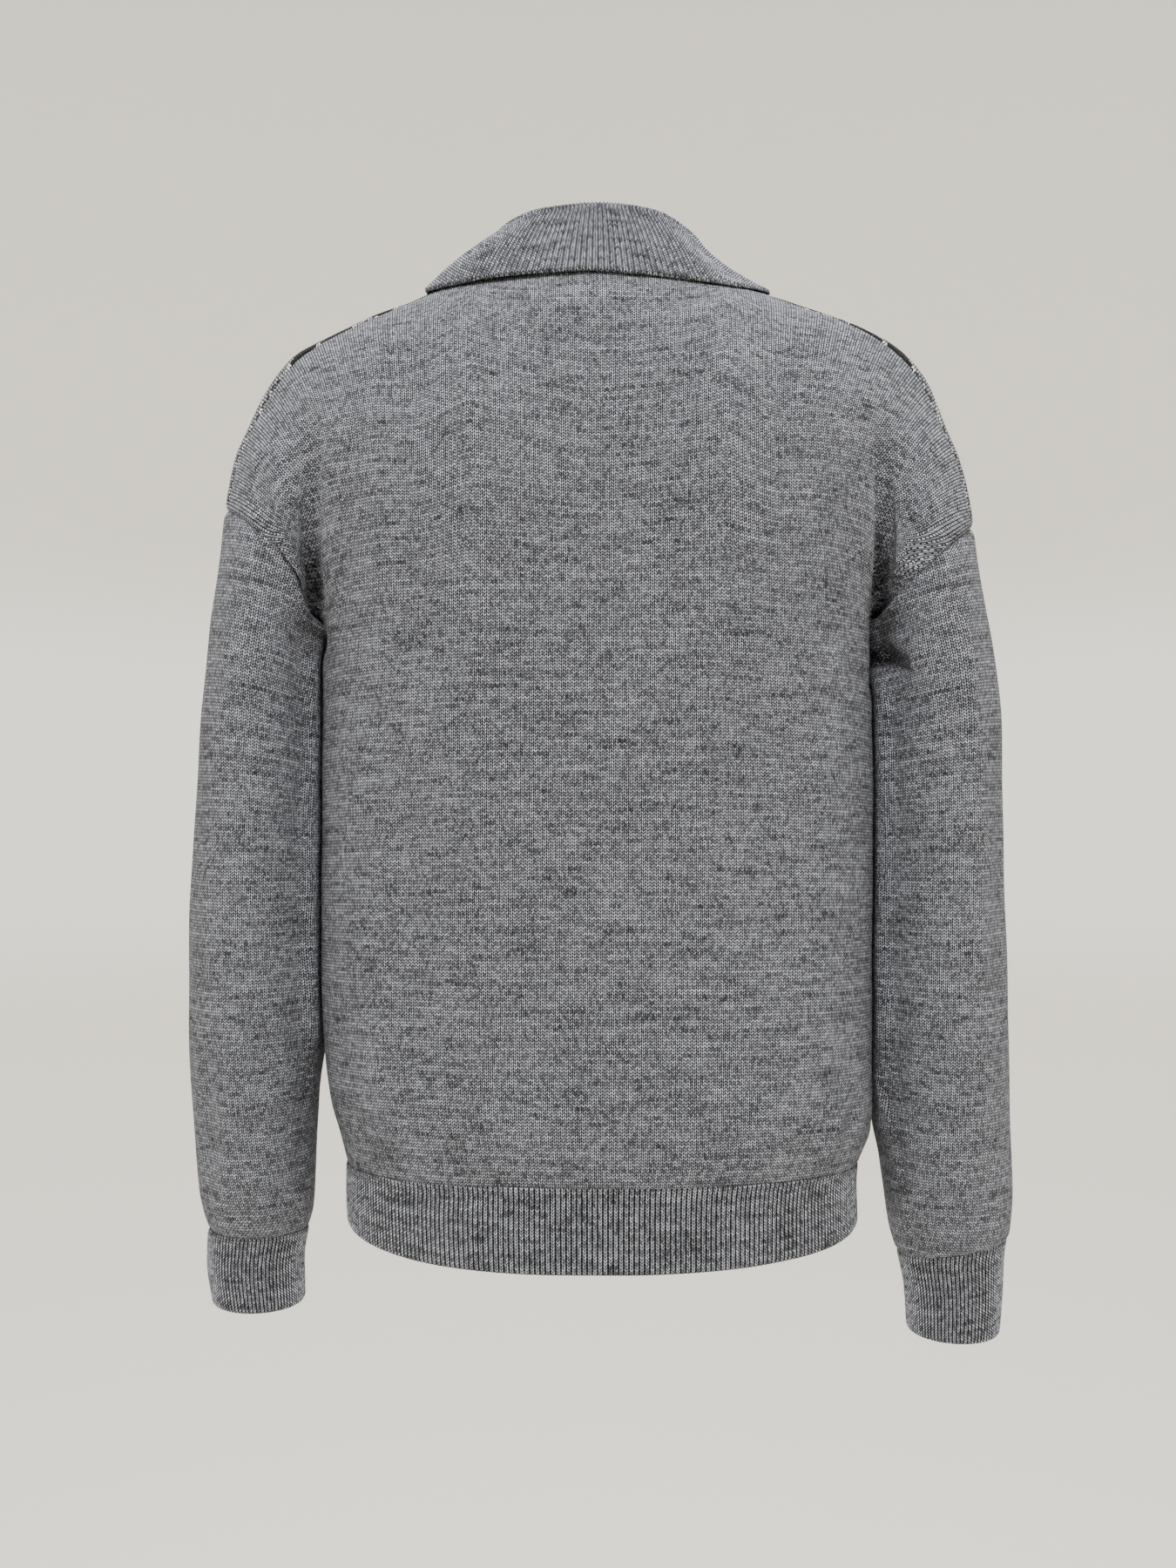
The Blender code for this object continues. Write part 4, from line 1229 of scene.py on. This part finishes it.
def build_button(number, drop, resin, thread):
    centre, direction = button_place(drop)
    section = [(radius * MM, height * MM) for radius, height in BUTTON_SECTION]
    hole = [(radius * MM, height * MM) for radius, height in HOLE_SECTION]
    button = turned(f"button_{number}_turned", section, (centre, direction))
    turn = direction.to_track_quat("Z", "Y")
    signs = ((1, 1), (-1, 1), (-1, -1), (1, -1))
    corners = [turn @ Vector((x * HOLE_OFF, y * HOLE_OFF, 0)) for x, y in signs]
    for corner in corners:
        cutter = turned("cutter", hole, (centre + corner, direction), 16)
        cut = button.modifiers.new("hole", "BOOLEAN")
        cut.operation = "DIFFERENCE"
        cut.solver = "EXACT"
        cut.object = cutter
        with bpy.context.temp_override(object=button, active_object=button):
            bpy.ops.object.modifier_apply(modifier="hole")
        bpy.data.objects.remove(cutter, do_unlink=True)
    dressed(button, resin, f"button_{number}")
    curve = bpy.data.curves.new(f"button_{number}_thread", "CURVE")
    curve.dimensions = "3D"
    curve.bevel_depth = 0.00032
    curve.bevel_resolution = 2
    for a, b in ((corners[0], corners[1]), (corners[3], corners[2])):
        line = curve.splines.new("POLY")
        rise = direction * 0.00052
        low = direction * -0.0006
        path = [a + low, a + rise * 0.6, (a + b) / 2 + rise, b + rise * 0.6, b + low]
        line.points.add(len(path) - 1)
        for point, place in zip(line.points, path):
            point.co = (*(centre + place), 1.0)
    curve.materials.append(thread)
    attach(placed(f"button_{number}_thread", curve), "root")


# ---- loose fibres ----


def build_fibres(pieces, count, material):
    """Fine short fibres that stand out of the cloth, as flat ribbons with two bends."""
    random = np.random.default_rng(7)
    roots = []
    for piece, share in pieces:
        vertices = piece.data.vertices
        found = np.empty((2, len(vertices) * 3))
        vertices.foreach_get("co", found[0])
        vertices.foreach_get("normal", found[1])
        chosen = random.integers(0, len(vertices) // 2, int(count * share))
        roots.append(found.reshape(2, -1, 3)[:, chosen])
    place, normal = np.concatenate(roots, axis=1)
    total = len(place)
    place = place + random.normal(0, 0.0008, (total, 3)) * (1, 0.3, 1)
    sideways = unit(np.cross(normal, random.normal(0, 1, (total, 3))))
    length = random.uniform(0.0015, 0.0052, (total, 1)) * random.uniform(0.5, 1.0, (total, 1))
    lean = random.uniform(0.2, 1.2, (total, 1))
    first = unit(normal + lean * sideways)
    along = normal * random.uniform(-0.3, 0.9, (total, 1))
    second = unit(along + sideways + random.normal(0, 0.35, (total, 3)))
    wide = unit(np.cross(first, second)) * random.uniform(0.00003, 0.00006, (total, 1))
    start = place - normal * 0.0004
    bend = start + first * length * 0.5
    tip = bend + second * length * 0.5
    vertices = np.stack([start - wide, start + wide, bend - wide, bend + wide, tip], axis=1).reshape(-1, 3)
    base = np.arange(total)[:, None] * 5
    triangles = np.concatenate([base + (0, 1, 3), base + (0, 3, 2), base + (2, 3, 4)], axis=1).reshape(-1, 3)
    mesh = bpy.data.meshes.new("loose_fibres")
    mesh.from_pydata(vertices.tolist(), [], triangles.tolist())
    mesh.materials.append(material)
    fibres = placed("loose_fibres", mesh)
    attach(fibres, "root")
    return fibres


# ---- the sweater ----


def build_sweater():
    """Builds every piece; the knitted ones carry their knitting as a UV map."""
    plain = stockinette("marled_stockinette")
    patterned = stockinette("argyle_stockinette", argyle)
    # The fourth value of each rib scales the painted highlight on its yarn's tops.
    wide_rib = rib("marled_rib", RIB_PERIOD, 0.0019, 1.16, 0.32)
    fine_rib = rib("marled_fine_rib", COLLAR_RIB_PERIOD, 0.0023, 0.86, 0.44)
    resin = button_material()
    thread = thread_material()
    back, back_places = build_panel("back_panel", BACK, BACK_CREASES, plain)
    front, front_places = build_panel("front_panel", FRONT, FRONT_CREASES, patterned)
    body = np.concatenate([back_places, front_places]).reshape(-1, 3)
    sleeves = []
    for side in (LEFT, RIGHT):
        beside = body[(body[:, 0] * side.sign > 0.13) & (body[:, 2] < side.under_z + 0.002)]
        sleeves.append(build_sleeve(side, plain, beside))
    hems = [build_hem("hem_rib_back", BACK, wide_rib), build_hem("hem_rib_front", FRONT, wide_rib)]
    cuffs = [build_cuff(side, wide_rib) for side in (LEFT, RIGHT)]
    collar = build_collar(fine_rib)
    bands = [
        build_band("placket_over", PLACKET_PROUD, 0.0003, fine_rib),
        build_band("placket_under", PLACKET_PROUD - WALL - LAY_GAP - 0.0009, 0.0, fine_rib),
    ]
    for number, drop in enumerate(BUTTON_DROPS, 1):
        build_button(number, drop, resin, thread)
    hairy = (back, front, *sleeves, *hems, *cuffs, collar)
    shares = (0.27, 0.20, 0.12, 0.12, 0.07, 0.05, 0.03, 0.03, 0.11)
    fibres = build_fibres(zip(hairy, shares), 26000, fibre_material())


# ---- room, light and camera ----

# The room's floor and wall, turned about the upright axis: radius and height.
ROOM_SECTION = (
    (0.01, -1.60),
    (1.50, -1.60),
    (2.80, -1.60),
    (3.30, -1.52),
    (3.65, -1.30),
    (3.82, -0.95),
    (3.88, -0.50),
    (3.90, 0.50),
    (3.90, 1.80),
    (3.90, 3.20),
)


def build_room():
    nodes = Nodes("pale_wall")
    z = nodes.apart(nodes.object_place())[2]
    # Painted light: the wall is lighter around the garment's height and darker above and below it.
    painted_falloff = nodes.ramp(abs(z + 0.33), 0.15, 0.70)
    material = nodes.surface(nodes.mix(painted_falloff, (0.90, 0.88, 0.835, 1.0), (0.76, 0.735, 0.67, 1.0)), 0.9)
    segments = 96
    points, faces = turned_rings(ROOM_SECTION, segments)
    mesh = bpy.data.meshes.new("room")
    mesh.from_pydata(points, [], [*faces, tuple(range(segments))])
    mesh.shade_smooth()
    mesh.materials.append(material)
    placed("room", mesh)


# Soft lamps: name, where each stands, its width and height, and its power in watts.
Lamp = namedtuple("Lamp", "name x y z wide tall watts")
LAMPS = (
    Lamp("key", 0.05, 1.35, 1.75, 1.2, 0.9, 64),
    Lamp("side_left", 2.9, -0.4, 1.3, 1.4, 1.6, 8),
    Lamp("side_right", -2.9, -0.2, 1.3, 1.4, 1.6, 11),
    Lamp("front", 0.0, -2.4, 1.9, 2.0, 1.4, 85),
    Lamp("top", 0.0, 0.1, 2.9, 2.4, 2.4, 70),
)


def build_lights():
    for lamp in LAMPS:
        light = bpy.data.lights.new(lamp.name, "AREA")
        light.shape = "RECTANGLE"
        light.size = lamp.wide
        light.size_y = lamp.tall
        light.energy = lamp.watts
        light.color = (1.0, 0.985, 0.965)
        thing = placed(lamp.name, light)
        thing.location = (lamp.x, lamp.y, lamp.z)
        towards = Vector((0, 0, -0.32)) - thing.location
        thing.rotation_euler = towards.to_track_quat("-Z", "Y").to_euler()
        thing.visible_camera = False
    world = bpy.data.worlds.new("soft_room")
    world.use_nodes = True
    background = world.node_tree.nodes["Background"]
    background.inputs["Color"].default_value = (0.95, 0.96, 1.0, 1.0)
    background.inputs["Strength"].default_value = 1.24
    bpy.context.scene.world = world


def build_camera():
    """Behind the wearer, level with the middle of the back, looking straight at it."""
    camera = bpy.data.cameras.new("camera")
    camera.lens = 41.1
    camera.sensor_width = 36.0
    camera.clip_start = 0.05
    thing = placed("camera", camera)
    thing.location = (0.006, 1.15, -0.336)
    thing.rotation_euler = (math.pi / 2, 0, math.pi)
    bpy.context.scene.camera = thing


build_sweater()
build_room()
build_lights()
build_camera()
